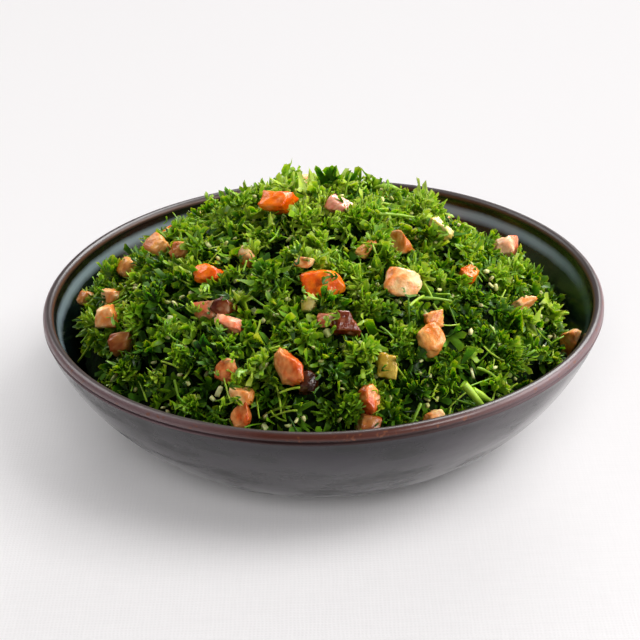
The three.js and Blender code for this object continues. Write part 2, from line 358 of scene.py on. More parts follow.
@dataclass(frozen=True)
class Bowl:
    """The thrown bowl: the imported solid's sizes and wall, with a finer lip and a turned line."""

    rim_radius: float = 105.0
    height: float = 57.5
    wall: float = 4.8
    lip_wall: float = 4.0  # the solid's lip is as thick as its wall
    lip_thinning: float = 14.0  # how far down the inside the wall thins towards the lip
    foot_radius: float = 48.0
    foot_height: float = 3.0
    foot_width: float = 6.0
    foot_chamfer: float = 0.8
    recess_height: float = 2.2
    recess_round: Span = (1.0, 0.4)  # how far in and down the recess is rounded at the foot ring
    shoulder: float = 1.36
    fullness: float = 1.78
    segments: int = 320
    wall_steps: int = 54
    inside_steps: int = 400  # steps of the curve that the salad is fitted to
    lip_steps: int = 18
    throwing: float = 0.16  # how far the wall wanders, as a hand-thrown one does
    wander_size: float = 70.0
    wander_flat: float = 2.5  # how much shorter its waves are up the wall than round it
    # the turned line under the lip: how far below the lip's start, and how far in
    groove: tuple[Span, ...] = ((1.15, 0.0), (0.95, 0.08), (0.8, 0.48), (0.5, 0.74), (0.2, 0.48),
                                (0.05, 0.06))

    @property
    def wall_top(self) -> float:
        """The height where the wall turns into the lip."""
        return self.height - self.wall / 2

    def wall_curve(self, depth: float, steps: int) -> Array:
        """The wall as rows of radius and height, from the foot up.

        The outer radius grows from the foot's to the rim's by (1 - (1 - share) ^ shoulder) ^
        (1 / fullness), and each point moves inwards along its own normal by the depth.

        Args:
            depth: how far inside the outer wall the curve runs.
            steps: how many steps it has, which are shorter near the foot.

        Returns:
            Rows of radius and height.
        """
        share = np.linspace(0, 1, steps + 1) ** 2
        edge = 1e-4

        def radius(at: Array) -> Array:
            """The outer wall's radius at a share of its height."""
            swell = (1 - (1 - at) ** self.shoulder) ** (1 / self.fullness)
            return self.foot_radius + (self.rim_radius - self.foot_radius) * swell

        low, high = np.maximum(share - edge, 0), np.minimum(share + edge, 1)
        tall = self.wall_top - self.foot_height
        run, climb = radius(high) - radius(low), (high - low) * tall
        length = np.hypot(run, climb)
        return np.stack([radius(share) - depth * climb / length,
                         self.foot_height + share * tall + depth * run / length], axis=1)

    def inside_radius(self, height: Array, gap: float) -> Array:
        """The radius of the bowl's inside at a height, less a gap."""
        curve = self.wall_curve(self.wall + gap, self.inside_steps)
        return np.interp(height, curve[:, 1], curve[:, 0])

    def keep_inside(self, points: Array, gap: float = 0.35) -> Array:
        """Draws points in towards the axis where they would cross the wall.

        Args:
            points: places, with the coordinates last.
            gap: how far from the wall they stay.

        Returns:
            The places, their heights unchanged.
        """
        reach = np.hypot(points[..., 0], points[..., 1])
        limit = self.inside_radius(points[..., 2], gap)
        pull = np.minimum(1, limit / np.maximum(reach, 1e-6))[..., None]
        return np.concatenate([points[..., :2] * pull, points[..., 2:]], axis=-1)

    def profile(self) -> Array:
        """The whole section: underside, foot ring, outer wall, groove, lip, inside and floor.

        The lip is a half oval, lip_wall wide and half a wall high. Inside, the wall loses
        (wall - lip_wall) times the smoothstep of 1 - drop / lip_thinning, where the drop is the
        distance below the wall's top.

        Returns:
            Rows of radius and height, from the underside's middle to the floor's.
        """
        inner_foot = self.foot_radius - self.foot_width
        inward, down = self.recess_round
        foot = [(0, self.recess_height), (inner_foot - inward, self.recess_height),
                (inner_foot, self.recess_height - down), (inner_foot, self.foot_chamfer),
                (inner_foot + self.foot_chamfer, 0), (self.foot_radius - self.foot_chamfer, 0),
                (self.foot_radius, self.foot_chamfer)]
        turn = np.linspace(0, np.pi, self.lip_steps + 1)[1:-1]
        half = self.lip_wall / 2
        lip = np.stack([self.rim_radius - half + half * np.cos(turn),
                        self.wall_top + self.wall / 2 * np.sin(turn)], axis=1)
        outside = self.wall_curve(0, self.wall_steps)
        groove = [(self.rim_radius - deep, self.wall_top - below) for below, deep in self.groove]
        inside = self.wall_curve(self.wall, self.wall_steps)[::-1]
        rise = np.clip(1 - (self.wall_top - inside[:, 1]) / self.lip_thinning, 0, 1)
        inside[:, 0] += (self.wall - self.lip_wall) * smoothstep(rise)
        floor = [(inside[-1, 0] * 0.5, inside[-1, 1]), (0, inside[-1, 1])]
        return np.concatenate([foot, outside[:-1], groove, outside[-1:], lip, inside, floor])

    def build(self) -> Thing:
        """Turns the section, lets the wall wander, and marks how far each point is past the lip.

        Returns:
            The bowl, with the distance along the section from the lip's top as "inward".
        """
        profile = self.profile()
        points, faces = turned_surface(profile, self.segments)
        length = np.concatenate([[0], np.cumsum(np.hypot(*np.diff(profile, axis=0).T))])
        past_lip = length - length[np.argmax(profile[:, 1])]
        inward = np.concatenate([np.repeat(past_lip[1:-1], self.segments), past_lip[[0, -1]]])
        wander = soft_noise(points * [1, 1, self.wander_flat], self.wander_size, Pattern.WALL)
        wander *= self.throwing
        reach = np.maximum(np.hypot(points[:, 0], points[:, 1]), 1)
        points[:, :2] *= (1 + wander * (reach > self.foot_radius) / reach)[:, None]
        return put_mesh("bowl_glazed", points, faces, floats={"inward": inward})


# ---- Mound ----


@dataclass(frozen=True)
class Mound:
    """The heap's form: the solid's dome and clumps, with a far shoulder that has settled more."""

    bowl: Bowl
    peak_above_rim: float = 37.0
    edge_below_rim: float = 17.0
    edge_sway: float = 4.0
    edge_sway_angle: float = 195.0
    dome_point: float = 1.5
    dome_edge: float = 0.6
    clump_size: float = 24.0
    clump_relief: float = 1.9
    lump_size: float = 9.0
    lump_relief: float = 2.1
    settled: float = 3.2  # the ground lies this far down, as the leaves stand up from it
    slump: float = 7.0  # how much further the far shoulder has settled
    slump_side: float = 0.2  # how much of it reaches round to the sides
    slump_start: float = 0.3  # where it starts, as a share of the edge's radius
    slump_run: float = 0.6  # and over how much more it grows
    # bumps of the peak: x, y, how far it stands up, and its size
    crests: tuple[tuple[float, float, float, float], ...] = (
        (8.0, 15.0, 2.0, 25.0), (3.0, 17.0, 3.4, 8.0), (11.0, 16.0, -2.4, 4.5),
        (20.0, 16.0, 3.4, 6.5), (-13.0, 14.0, -6.0, 7.0), (-23.0, 14.0, 3.2, 6.0))
    steepest: float = 2.2  # the steepest slope that a piece's normal follows
    steepest_area: float = 2.5  # and the steepest that draws more pieces
    area_steps: int = 500
    sight_run: Span = (420.0, 760.0)  # where along a line of sight the heap lies
    sight_step: float = 0.1
    fit_gap: float = 0.3
    core_gap: float = 0.4  # how far inside the heap's edge the core's top ends
    core_spacing: float = 0.9
    core_wall_gap: float = 0.6
    core_wall_steps: int = 60
    core_overlap: float = 4.0  # how far under its lowest edge the core follows the wall
    core_keep: float = 0.5
    core_sunk: float = 6.4
    crumb_size: float = 3.0
    crumb_relief: float = 1.2
    core_segments: int = 220
    core_rings: int = 70

    @property
    def edge_radius(self) -> float:
        """Where the heap's edge meets the wall."""
        height = self.bowl.height - self.edge_below_rim
        return float(self.bowl.inside_radius(np.array(height), self.fit_gap))

    def dome(self, x: Array, y: Array) -> Array:
        """Height of the smooth mound: edge + (peak - edge) (1 - share ^ point) ^ edge power.

        The share is the distance from the axis over the edge's radius, and the edge's own height
        sways by the cosine of the turn from its highest side.

        Args:
            x: places across.
            y: places towards the back.

        Returns:
            The heights.
        """
        sway = np.cos(np.arctan2(y, x) - np.radians(self.edge_sway_angle))
        edge = self.bowl.height - self.edge_below_rim + self.edge_sway * sway
        share = np.minimum(np.hypot(x, y) / self.edge_radius, 1)
        rise = (1 - share ** self.dome_point) ** self.dome_edge
        return edge + (self.bowl.height + self.peak_above_rim - edge) * rise

    def ground(self, x: Array, y: Array) -> Array:
        """Height of the mound that the pieces lie on.

        It is the dome, less how far it has settled, less the slump of the far shoulder, with the
        crests, clumps and lumps. The slump grows outwards by a smoothstep, and a crest is
        rise exp(-(distance / size) ^ 2).

        Args:
            x: places across.
            y: places towards the back.

        Returns:
            The heights.
        """
        flat = np.stack([x, y], axis=-1)
        clumps = self.clump_relief * soft_noise(flat, self.clump_size, Pattern.CLUMPS)
        lumps = self.lump_relief * soft_noise(flat, self.lump_size, Pattern.LUMPS)
        reach = np.hypot(x, y)
        behind = np.clip(self.slump_side + y / np.maximum(reach, 1), 0, 1)
        outward = np.clip((reach / self.edge_radius - self.slump_start) / self.slump_run, 0, 1)
        slump = self.slump * behind * smoothstep(outward)
        crest = sum(rise * np.exp(-((x - at_x) ** 2 + (y - at_y) ** 2) / size ** 2)
                    for at_x, at_y, rise, size in self.crests)
        return self.dome(x, y) - self.settled - slump + crest + clumps + lumps

    def normals(self, x: Array, y: Array) -> Array:
        """Unit normals of the ground, from its slopes over two millimetres.

        Args:
            x: places across.
            y: places towards the back.

        Returns:
            One normal a place, no further over than the steepest slope.
        """
        step = 1.0
        slope_x = (self.ground(x + step, y) - self.ground(x - step, y)) / (2 * step)
        slope_y = (self.ground(x, y + step) - self.ground(x, y - step)) / (2 * step)
        steep = np.maximum(np.hypot(slope_x, slope_y) / self.steepest, 1)
        return unit(np.stack([-slope_x / steep, -slope_y / steep, np.ones_like(slope_x)], axis=-1))

    def on_ground(self, spots: Array) -> tuple[Array, Array]:
        """The places on the ground at pairs of x and y, and its unit normals there."""
        x, y = spots[..., 0], spots[..., 1]
        return np.concatenate([spots, self.ground(x, y)[..., None]], axis=-1), self.normals(x, y)

    def spots(self, count: int, rng: Random, reach: float) -> Array:
        """Places over the heap, even over its surface.

        Each one turns the golden angle on from the last, and its radius is where that share of the
        dome's own area is passed.

        Args:
            count: how many.
            rng: jitters them.
            reach: how far out they go, as a share of the edge's radius.

        Returns:
            Rows of x and y.
        """
        radii = np.linspace(0, self.edge_radius * reach, self.area_steps)
        heights = self.dome(radii, np.zeros_like(radii))
        slope = np.clip(np.gradient(heights, radii), -self.steepest_area, 0)
        area = np.cumsum(radii * np.hypot(1, slope))
        share = (np.arange(count) + rng.uniform(0, 1, count)) / count
        radius = np.interp(share, area / area[-1], radii)
        angle = np.arange(count) * GOLDEN_ANGLE + rng.uniform(-0.5, 0.5, count)
        return np.stack([radius * np.cos(angle), radius * np.sin(angle)], axis=1)

    def struck_by(self, start: Array, direction: Array) -> Array:
        """The first point of the ground that a line of sight meets.

        Args:
            start: where the line starts.
            direction: its unit direction.

        Returns:
            The point, to a tenth of a millimetre.
        """
        line = start + direction * np.arange(*self.sight_run, self.sight_step)[:, None]
        below = line[:, 2] <= self.ground(line[:, 0], line[:, 1])
        inside = np.hypot(line[:, 0], line[:, 1]) < self.edge_radius + 1
        return line[np.argmax(below & inside)]

    def build(self) -> Thing:
        """The core: the sunk ground with crumbs in relief, closed along the bowl's inside.

        Returns:
            The core's object.
        """
        reach = self.edge_radius - self.core_gap
        radii = reach * np.linspace(0, 1, self.core_rings + 1) ** self.core_spacing
        wall = self.bowl.wall_curve(self.bowl.wall + self.core_wall_gap, self.core_wall_steps)
        low_edge = self.bowl.height - self.edge_below_rim - self.edge_sway - self.core_sunk
        under = wall[wall[:, 1] < low_edge - self.core_overlap]
        profile = np.concatenate([[(0, under[0, 1])], under,
                                  np.stack([radii[::-1], np.zeros(len(radii))], axis=1)])
        points, faces = turned_surface(profile, self.core_segments)
        first_top = len(under) * self.core_segments
        top = np.r_[first_top:len(points) - 2, len(points) - 1]
        x, y = points[top, 0], points[top, 1]
        flat = np.stack([x, y], axis=-1)
        crumbs = self.crumb_relief * soft_noise(flat, self.crumb_size, Pattern.CRUMBS)
        points[top, 2] = self.ground(x, y) - self.core_sunk + crumbs
        return put_mesh("salad_core", self.bowl.keep_inside(points, self.core_keep), faces)


# ---- Where the pieces lie ----


@dataclass(frozen=True)
class Seats:
    """Where the pieces of one kind lie.

    Attributes:
        base: pieces x 3, the point that each one starts from, in millimetres.
        frames: pieces x 3 x 3, its across, along and up directions as columns.
        tone: pieces, from 0 for the darkest green around it to 1 for the brightest.
    """

    base: Array
    frames: Array
    tone: Array

    def place(self, local: Array) -> Array:
        """The points of every piece, moved from its own frame into the bowl."""
        return self.base[:, None] + np.einsum("nij,nkj->nki", self.frames, local)


def sunk_by(spots: Array, hollows: Array, most: float) -> Array:
    """How far a piece is pushed down where something larger lies on top.

    Args:
        spots: rows of x and y.
        hollows: rows of x, y and radius.
        most: the depth at a hollow's middle.

    Returns:
        A depth for each spot, which falls off to nothing at the hollow's radius.
    """
    away = np.linalg.norm(spots[:, None] - hollows[None, :, :2], axis=2) / hollows[None, :, 2]
    return most * np.clip(HOLLOW_SLOPE - HOLLOW_SLOPE * away, 0, 1).max(axis=1)


class Lie(Enum):
    """Where the pieces of one kind lie."""

    GATHERED = "in the tufts"
    EVEN = "evenly over the ground"
    LEANING = "over the edges of the larger lumps"


@dataclass(frozen=True)
class Lay:
    """How the pieces of one kind lie.

    Attributes:
        lie: where.
        depth: least and most height over the ground or the tuft, in millimetres.
        roll: scatter of the turn about the piece's own length, in radians.
        tilt: mean and scatter of how far the far end is lifted, outside the tufts.
        reach: how far out even ones go, as a share of the edge's radius.
        sunk: how far even ones go down under the middle of a larger piece.
    """

    lie: Lie
    depth: Span
    roll: float = 0.6
    tilt: Span = (0.0, 0.0)
    reach: float = 0.97
    sunk: float = HOLLOW_DEPTH


@dataclass(frozen=True)
class Tufts:
    """How the parsley bunches: small tufts that open from their middles, with dark gaps between.

    A piece of a tuft starts from a shallow dome about the tuft's middle. In the middle it points
    along the tuft's axis, and it leans outwards with its distance from it.

    Attributes:
        mound: what everything lies on.
        hollows: rows of x, y and radius where a larger piece lies on top.
        lumps: rows of x, y and radius that pieces lean on.
    """

    mound: Mound
    hollows: Array
    lumps: Array
    count: int = 600
    radius: Span = (1.9, 4.7)
    raised: Span = (-5.0, 0.1)
    lean: float = 0.55
    opening: float = 1.2
    sweep: Span = (0.5, 2.4)  # how far round a tuft its pieces spread, from one side to all sides
    crown: float = 0.35
    reach: float = 0.97
    scatter: float = 0.8  # how far a tuft's middle strays from its even place
    packed: float = 0.75  # how far out in the tuft its pieces start
    straying: float = 0.25  # scatter of a piece's lean, in radians
    swing: float = 0.3  # and of its turn about its up direction
    # painted light and shade: raised tufts are brightened, sunk ones darkened
    raised_painted_light: float = 0.05  # how much brighter a tuft is for each millimetre that it is raised
    shade: Span = (1.15, 1.3)
    # painted light: the tufts around the peak are brightened
    crest_painted_light: float = 0.75  # how much brighter the tufts around the peak are
    crest_size: float = 36.0
    crest_behind: float = 12.0

    def seat(self, lay: Lay, count: int, rng: Random) -> Seats:
        """Seats for one kind of piece.

        Args:
            lay: how the pieces lie.
            count: how many they are.
            rng: the source of every draw.

        Returns:
            The seats.
        """
        ways = {Lie.GATHERED: self.gathered, Lie.EVEN: self.even, Lie.LEANING: self.leaning}
        return ways[lay.lie](lay, count, rng)

    def even(self, lay: Lay, count: int, rng: Random) -> Seats:
        """Spreads pieces evenly over the mound, each turned its own way.

        Args:
            lay: how they lie.
            count: how many they are.
            rng: the source of every draw.

        Returns:
            The seats.
        """
        spots = self.mound.spots(count, rng, lay.reach)
        ground, normals = self.mound.on_ground(spots)
        frames = turned_frames(normals, rng.uniform(0, 2 * np.pi, count),
                               rng.normal(*lay.tilt, count), rng.normal(0, lay.roll, count))
        height = rng.uniform(*lay.depth, count) - sunk_by(spots, self.hollows, lay.sunk)
        return Seats(ground + normals * height[:, None], frames, rng.beta(*TONE_SHAPE, count))

    def leaning(self, lay: Lay, count: int, rng: Random) -> Seats:
        """Leans pieces from around the larger lumps in over their edges.

        Args:
            lay: how they lie.
            count: how many they are.
            rng: the source of every draw.

        Returns:
            The seats.
        """
        of = rng.choice(len(self.lumps), count)
        turn = rng.uniform(0, 2 * np.pi, count)
        outward = np.stack([np.cos(turn), np.sin(turn), np.zeros(count)], axis=1)
        away = self.lumps[of, 2] * rng.uniform(*LEANING_REACH, count)
        ground, normals = self.mound.on_ground(self.lumps[of, :2] + outward[:, :2] * away[:, None])
        lifted = rng.normal(*lay.tilt, count)[:, None]
        along = unit(normals * np.sin(lifted) - outward * np.cos(lifted))
        across = unit(np.cross(along, normals))
        frames = np.stack([across, along, np.cross(across, along)], axis=-1)
        frames = frames @ about(1, rng.normal(0, lay.roll, count))
        base = ground + normals * rng.uniform(*lay.depth, count)[:, None]
        return Seats(base, frames, np.clip(rng.beta(*TONE_SHAPE, count) + LEANING_PAINTED_LIGHT, 0, 1))

    def gathered(self, lay: Lay, count: int, rng: Random) -> Seats:
        """Draws pieces to the tufts, by the tufts' areas.

        Args:
            lay: how they lie.
            count: how many they are.
            rng: the source of every draw but the tufts' own.

        Returns:
            The seats.
        """
        own = draws(Draw.TUFTS)
        spots = self.mound.spots(self.count, own, self.reach)
        spots += own.normal(0, self.scatter, (self.count, 2))
        radius = own.uniform(*self.radius, self.count)
        raised = own.uniform(*self.raised, self.count)
        tone = own.beta(*self.shade, self.count)
        # painted light around the peak, and painted light and shade by how far a tuft is raised
        from_crest = ((spots - [0, self.crest_behind]) ** 2).sum(axis=1)
        tone += self.crest_painted_light * np.exp(-from_crest / self.crest_size ** 2)
        tone += self.raised_painted_light * (raised - np.mean(self.raised))
        ground, normals = self.mound.on_ground(spots)
        stands = turned_frames(normals, own.uniform(0, 2 * np.pi, self.count),
                               own.normal(0, self.lean, self.count),
                               own.normal(0, self.lean, self.count))
        middles = ground + normals * raised[:, None]
        side = own.uniform(0, 2 * np.pi, self.count)
        sweep = own.uniform(*self.sweep, self.count)
        of = rng.choice(self.count, count, p=radius ** 2 / (radius ** 2).sum())
        share = np.sqrt(rng.uniform(0, 1, count))
        turn = side[of] + sweep[of] * rng.normal(0, 1, count)
        first, second, axis = (stands[of, :, i] for i in range(3))
        radial = first * np.cos(turn)[:, None] + second * np.sin(turn)[:, None]
        steep = self.opening * share + rng.normal(0, self.straying, count)
        along = axis * np.cos(steep)[:, None] + radial * np.sin(steep)[:, None]
        across = np.cross(radial, axis)
        frames = np.stack([across, along, np.cross(across, along)], axis=-1)
        frames = frames @ about(1, rng.normal(0, lay.roll, count))
        frames = frames @ about(2, rng.normal(0, self.swing, count))
        out = radius[of] * share * self.packed
        rise = radius[of] * self.crown * (1 - share ** 2) + rng.uniform(*lay.depth, count)
        base = middles[of] + radial * out[:, None] + axis * rise[:, None]
        base[:, 2] -= sunk_by(base[:, :2], self.hollows, HOLLOW_DEPTH)
        return Seats(base, frames, tone[of])


# ---- Shapes of the pieces ----


def shell_layout(rows: int, columns: int) -> tuple[Array, Array, Array, Array]:
    """How the points of a thin closed fan are numbered.

    Point 0 is the stalk end. Row and column give the upper sheet, the lower sheet shares the fan's
    whole outline with it, and diagonals lean outwards so that the sheets never share a triangle.

    Args:
        rows: rows of points past the stalk end.
        columns: points across the fan.

    Returns:
        Upper and lower point numbers as grids, the triangles, and which points are the outline.
    """
    upper = np.zeros((rows + 1, columns), int)
    upper[1:] = 1 + np.arange(rows * columns).reshape(rows, columns)
    lower = upper.copy()
    hidden = (rows - 1) * (columns - 2)
    lower[1:-1, 1:-1] = 1 + rows * columns + np.arange(hidden).reshape(rows - 1, columns - 2)

    def sheet(grid: Array) -> Array:
        """Triangles of one sheet.

        Args:
            grid: its point numbers.

        Returns:
            Rows of three point numbers, anticlockwise seen from above.
        """
        near_left, near_right = grid[:-1, :-1], grid[:-1, 1:]
        far_right, far_left = grid[1:, 1:], grid[1:, :-1]
        tip = np.stack([near_left[0], far_right[0], far_left[0]], axis=-1)
        left = np.broadcast_to(np.arange(columns - 1) < (columns - 1) // 2, near_left[1:].shape)
        third = np.where(left, far_left[1:], far_right[1:])
        fourth = np.where(left, near_right[1:], near_left[1:])
        one = np.stack([near_left[1:], near_right[1:], third], axis=-1)
        two = np.stack([fourth, far_right[1:], far_left[1:]], axis=-1)
        return np.concatenate([tip, one.reshape(-1, 3), two.reshape(-1, 3)])

    rim = np.zeros(1 + rows * columns + hidden, bool)
    rim[np.concatenate([upper[:, 0], upper[:, -1], upper[-1]])] = True
    return upper, lower, np.concatenate([sheet(upper), sheet(lower)[:, ::-1]]), rim


@dataclass(frozen=True)
class Greens:
    """The greens that one kind of parsley piece is drawn from, in screen values."""

    dark: Colour = (18, 40, 4)
    middle: Colour = (58, 103, 9)
    bright: Colour = (122, 166, 22)
    pale: Colour = (168, 194, 58)
    own_share: float = 0.45
    tuft_share: float = 0.62
    darker: float = 0.04

    def pick(self, tone: Array, rng: Random, light: float) -> Array:
        """One linear colour a piece: partly its tuft's tone and partly its own draw.

        Args:
            tone: pieces, from 0 to 1.
            rng: draws each piece's own share.
            light: a higher one gives brighter greens.

        Returns:
            Pieces x 3 linear colours.
        """
        steps = np.stack([linear(c) for c in (self.dark, self.middle, self.bright, self.pale)])
        own = rng.beta(*TONE_SHAPE, len(tone))
        last = len(steps) - 1
        place = self.own_share * own + self.tuft_share * tone - self.darker
        place = np.clip(place * last * light, 0, last - 0.001)
        low = place.astype(int)
        share = (place - low)[:, None]
        return steps[low] * (1 - share) + steps[low + 1] * share


@dataclass(frozen=True)
class Frill:
    """A cut of curly parsley leaf: a thin fan that opens from its stalk end into narrow lobes.

    Each lobe has four outline points: the notch beside it, its two shoulders and its tip. They lie
    on equal angles of the fan, at the length times their own reach. A lobe bends and twists on its
    own, and then the whole fan is rolled up along and across.
    """

    name: str
    count: int
    length: Span
    spread: Span
    lobes: int
    key: int
    lay: Lay
    notch: Span = (0.28, 0.5)
    shoulder: Span = (0.76, 0.96)
    shoulder_place: float = 0.28
    lobe_reach: Span = (0.82, 1.05)
    side_short: float = 0.28  # how much shorter the outermost lobes are
    row_short: float = 0.12  # and how much nearer the middle row is there
    lobe_bend: float = 0.64
    notch_bend: float = 0.1  # how much of its lobe's bend a notch has
    lobe_twist: float = 0.17
    ripple: float = 0.035  # scatter of the outline's height, as a share of the length
    stray: float = 0.04  # scatter of its angle, in radians
    curl: Span = (-1.2, 1.8)
    cup: Span = (-1.2, 1.8)
    thickness: float = 0.36
    filled: Size = (0.4, 1.0, 0.0)  # shares of the thickness: stalk end, middle row and outline
    middle_row: float = 0.25
    light: float = 1.0
    stalk_light: float = 0.62  # the light at the stalk end
    tip_light: float = 0.55  # how much more there is at the outline
    mottle: Span = (0.85, 1.15)

    @property
    def columns(self) -> int:
        """Outline points across the fan."""
        return 4 * self.lobes + 1

    def local_points(self, rng: Random, pieces: int) -> tuple[Array, Array, Array]:
        """Shapes every fan in its own frame.

        Args:
            rng: the source of every draw.
            pieces: how many fans.

        Returns:
            Their upper sheets, their lower sheets, and how far out each point is, from 0 to 1.
        """
        wide = (pieces, self.columns)
        kind = np.arange(self.columns) % 4  # 0 notch, 1 shoulder, 2 tip, 3 shoulder
        lobe = np.minimum(np.arange(self.columns) // 4, self.lobes - 1)
        inside_lobe = np.array([0, self.shoulder_place, 0.5, 1 - self.shoulder_place])[kind]
        across = 2 * (np.arange(self.columns) // 4 + inside_lobe) / self.lobes - 1

        def draw(span: Span) -> Array:
            """One value a fan, shaped to spread over its points."""
            return rng.uniform(*span, (pieces, 1, 1))

        def by_lobe(span: Span) -> Array:
            """One value a lobe, given to each of its points."""
            return rng.uniform(*span, (pieces, self.lobes))[:, lobe]

        middle = 1 - self.side_short * np.abs(across)[None]
        full = by_lobe(self.lobe_reach) * middle
        reach = np.where(kind == 0, rng.uniform(*self.notch, wide) * middle,
                         np.where(kind == 2, full, full * rng.uniform(*self.shoulder, wide)))
        lean = by_lobe((-self.lobe_bend, self.lobe_bend))
        turn = by_lobe((-self.lobe_twist, self.lobe_twist)) * np.select(
            [kind == 1, kind == 3], [1.0, -1.0], 0.0)
        lift = np.where(kind == 0, self.notch_bend * lean, lean * reach) + turn
        lift += rng.normal(0, self.ripple, wide)
        v = np.array([0, self.middle_row, 1.0])[None, :, None]
        edge = np.array([0.0, 0.0, 1.0])[None, :, None]
        length = draw(self.length)
        angle = across[None, None] * np.radians(draw(self.spread)) / 2
        angle = angle + edge * rng.normal(0, self.stray, wide)[:, None]
        within = v * (1 - edge) * (1 - self.row_short * np.abs(across))
        out = length * (within + edge * reach[:, None])
        height = length * edge * lift[:, None]
        solid = np.array(self.filled)[None, :, None] * (np.abs(across) < 1)
        x, y = out * np.sin(angle), out * np.cos(angle)
        curl, cup = draw(self.curl) / length, draw(self.cup) / length
        sheets = []
        for side in (1, -1):
            along, up = roll_up(y, height + side * solid * self.thickness / 2, curl)
            sideways, top = roll_up(x, up, cup)
            sheets.append(np.stack([sideways, along, top], axis=-1))
        return sheets[0], sheets[1], np.broadcast_to(v, angle.shape)

    def make(self, tufts: Tufts) -> Batch:
        """Makes the fans and lays them.

        Args:
            tufts: the tufts, with their mound and what lies on top.

        Returns:
            The fans as one batch.
        """
        rng = draws(Draw.FRILLS, self.key)
        upper, lower, faces, rim = shell_layout(2, self.columns)
        top, bottom, outward = self.local_points(rng, self.count)
        seats = tufts.seat(self.lay, self.count, rng)
        local = np.zeros((self.count, len(rim), 3))
        local[:, lower] = bottom
        local[:, upper] = top
        far = np.zeros((self.count, len(rim), 1))
        far[:, upper, 0] = far[:, lower, 0] = outward
        points = seats.place(local - local[:, :1])
        tint = Greens().pick(seats.tone, rng, self.light)[:, None]
        tint = tint * (self.stalk_light + self.tip_light * far)
        shade = rng.uniform(*self.mottle, far.shape)
        return Batch(tufts.mound.bowl.keep_inside(points), faces, tint * shade, rim)


@dataclass(frozen=True)
class Strand:
    """A strip or stalk: an oval carried along its own length, twisted and then rolled up.

    Ring i stands at length * i / steps. Its half width and half height follow a soft bulge along
    the strand, and each ring is turned by the twist so far.
    """

    name: str
    count: int
    length: Span
    width: Span
    thickness: Span
    steps: int
    sides: int
    key: int
    lay: Lay
    ragged: float = 0.0
    taper: float = 0.45
    blunt: float = 0.12  # how much of the bulge's half wave is cut off at each end
    twist: Span = (-1.2, 1.2)
    curl: Span = (-0.8, 1.2)
    sway: Span = (-0.5, 0.5)
    light: float = 1.0
    mottle: Span = (0.88, 1.12)

    def local_points(self, rng: Random, pieces: int) -> Array:
        """Shapes every strand in its own frame, with its middle at the origin.

        Args:
            rng: the source of every draw.
            pieces: how many strands.

        Returns:
            Their points ring by ring, with the middles of the two ends last.
        """

        def draw(span: Span) -> Array:
            """One value a strand, shaped to spread over its points."""
            return rng.uniform(*span, (pieces, 1, 1))

        share = np.linspace(0, 1, self.steps + 1)[None, :, None]
        around = (np.arange(self.sides) * 2 * np.pi / self.sides)[None, None, :]
        length = draw(self.length)
        wave = np.sin(np.pi * (self.blunt + (1 - 2 * self.blunt) * share))
        bulge = 1 - self.taper + self.taper * wave
        rag = 1 + self.ragged * rng.normal(0, 1, (pieces, self.steps + 1, self.sides))
        wide = draw(self.width) / 2 * bulge * rag
        high = draw(self.thickness) / 2 * bulge
        flat_x, flat_z = wide * np.cos(around), high * np.sin(around)
        turn = draw(self.twist) * share
        x = flat_x * np.cos(turn) - flat_z * np.sin(turn)
        z = flat_x * np.sin(turn) + flat_z * np.cos(turn)
        y = np.broadcast_to(length * (share - 0.5), x.shape)
        along, up = roll_up(y, z, draw(self.curl) / length)
        ahead, across = roll_up(along, x, draw(self.sway) / length)
        rings = np.stack([across, -ahead, up], axis=-1)
        body = rings.reshape(pieces, -1, 3)
        ends = np.stack([rings[:, 0].mean(axis=1), rings[:, -1].mean(axis=1)], axis=1)
        return np.concatenate([body, ends], axis=1)

    def make(self, tufts: Tufts) -> Batch:
        """Makes the strands and lays them.

        Args:
            tufts: the tufts, with their mound and what lies on top.

        Returns:
            The strands as one batch.
        """
        rng = draws(Draw.STRANDS, self.key)
        local = self.local_points(rng, self.count)
        seats = tufts.seat(self.lay, self.count, rng)
        points = seats.place(local)
        tint = Greens().pick(seats.tone, rng, self.light)[:, None]
        shade = rng.uniform(*self.mottle, (self.count, local.shape[1], 1))
        # the lowest, even layer: light=0.72 darkens it as painted shade
        rim = np.zeros(local.shape[1], bool)
        return Batch(tufts.mound.bowl.keep_inside(points), tube_layout(self.steps, self.sides),
                     np.broadcast_to(tint, points.shape) * shade, rim)


@dataclass(frozen=True)
class Stem:
    """A stalk that shows: the pixels of its two ends, its width, its bow and its lift."""

    start: Pixel
    end: Pixel
    width: float
    bow: float = 0.8
    lift: float = 1.8


STEMS = (
    Stem((457, 386), (476, 409), 3.1, 0.2, 3.4),
    Stem((468, 390), (489, 405), 2.2, 0.4, 3.0),
    Stem((474, 373), (496, 386), 1.1, 0.8, 2.0),
    Stem((354, 317), (378, 297), 1.5, 0.6, 2.0),
    Stem((379, 297), (391, 291), 1.1, 0.4, 2.0),
    Stem((407, 312), (422, 301), 1.1, 0.6, 2.0),
    Stem((421, 301), (452, 304), 1.1, 0.8, 2.0),
    Stem((419, 284), (429, 301), 1.2, 0.4, 1.8),
    Stem((433, 304), (442, 319), 1.0, 0.6, 1.8),
    Stem((372, 217), (412, 221), 1.2, 0.6, 2.2),
    Stem((373, 218), (374, 247), 0.9, 0.6, 1.8),
    Stem((374, 246), (381, 263), 0.9, 0.4, 1.6),
    Stem((381, 331), (394, 343), 0.9, 0.5, 1.8),
    # """Makes the core and each kind of piece, with their finishes.
    Stem((255, 300), (286, 322), 0.8, 1.2, 1.8),
    Stem((300, 312), (345, 313), 0.9, 0.8, 1.6),
    Stem((420, 404), (411, 424), 1.2, 0.5, 1.8),
    Stem((487, 329), (496, 346), 1.1, 0.5, 1.8),
    Stem((176, 381), (180, 398), 1.0, 0.5, 1.8),
)


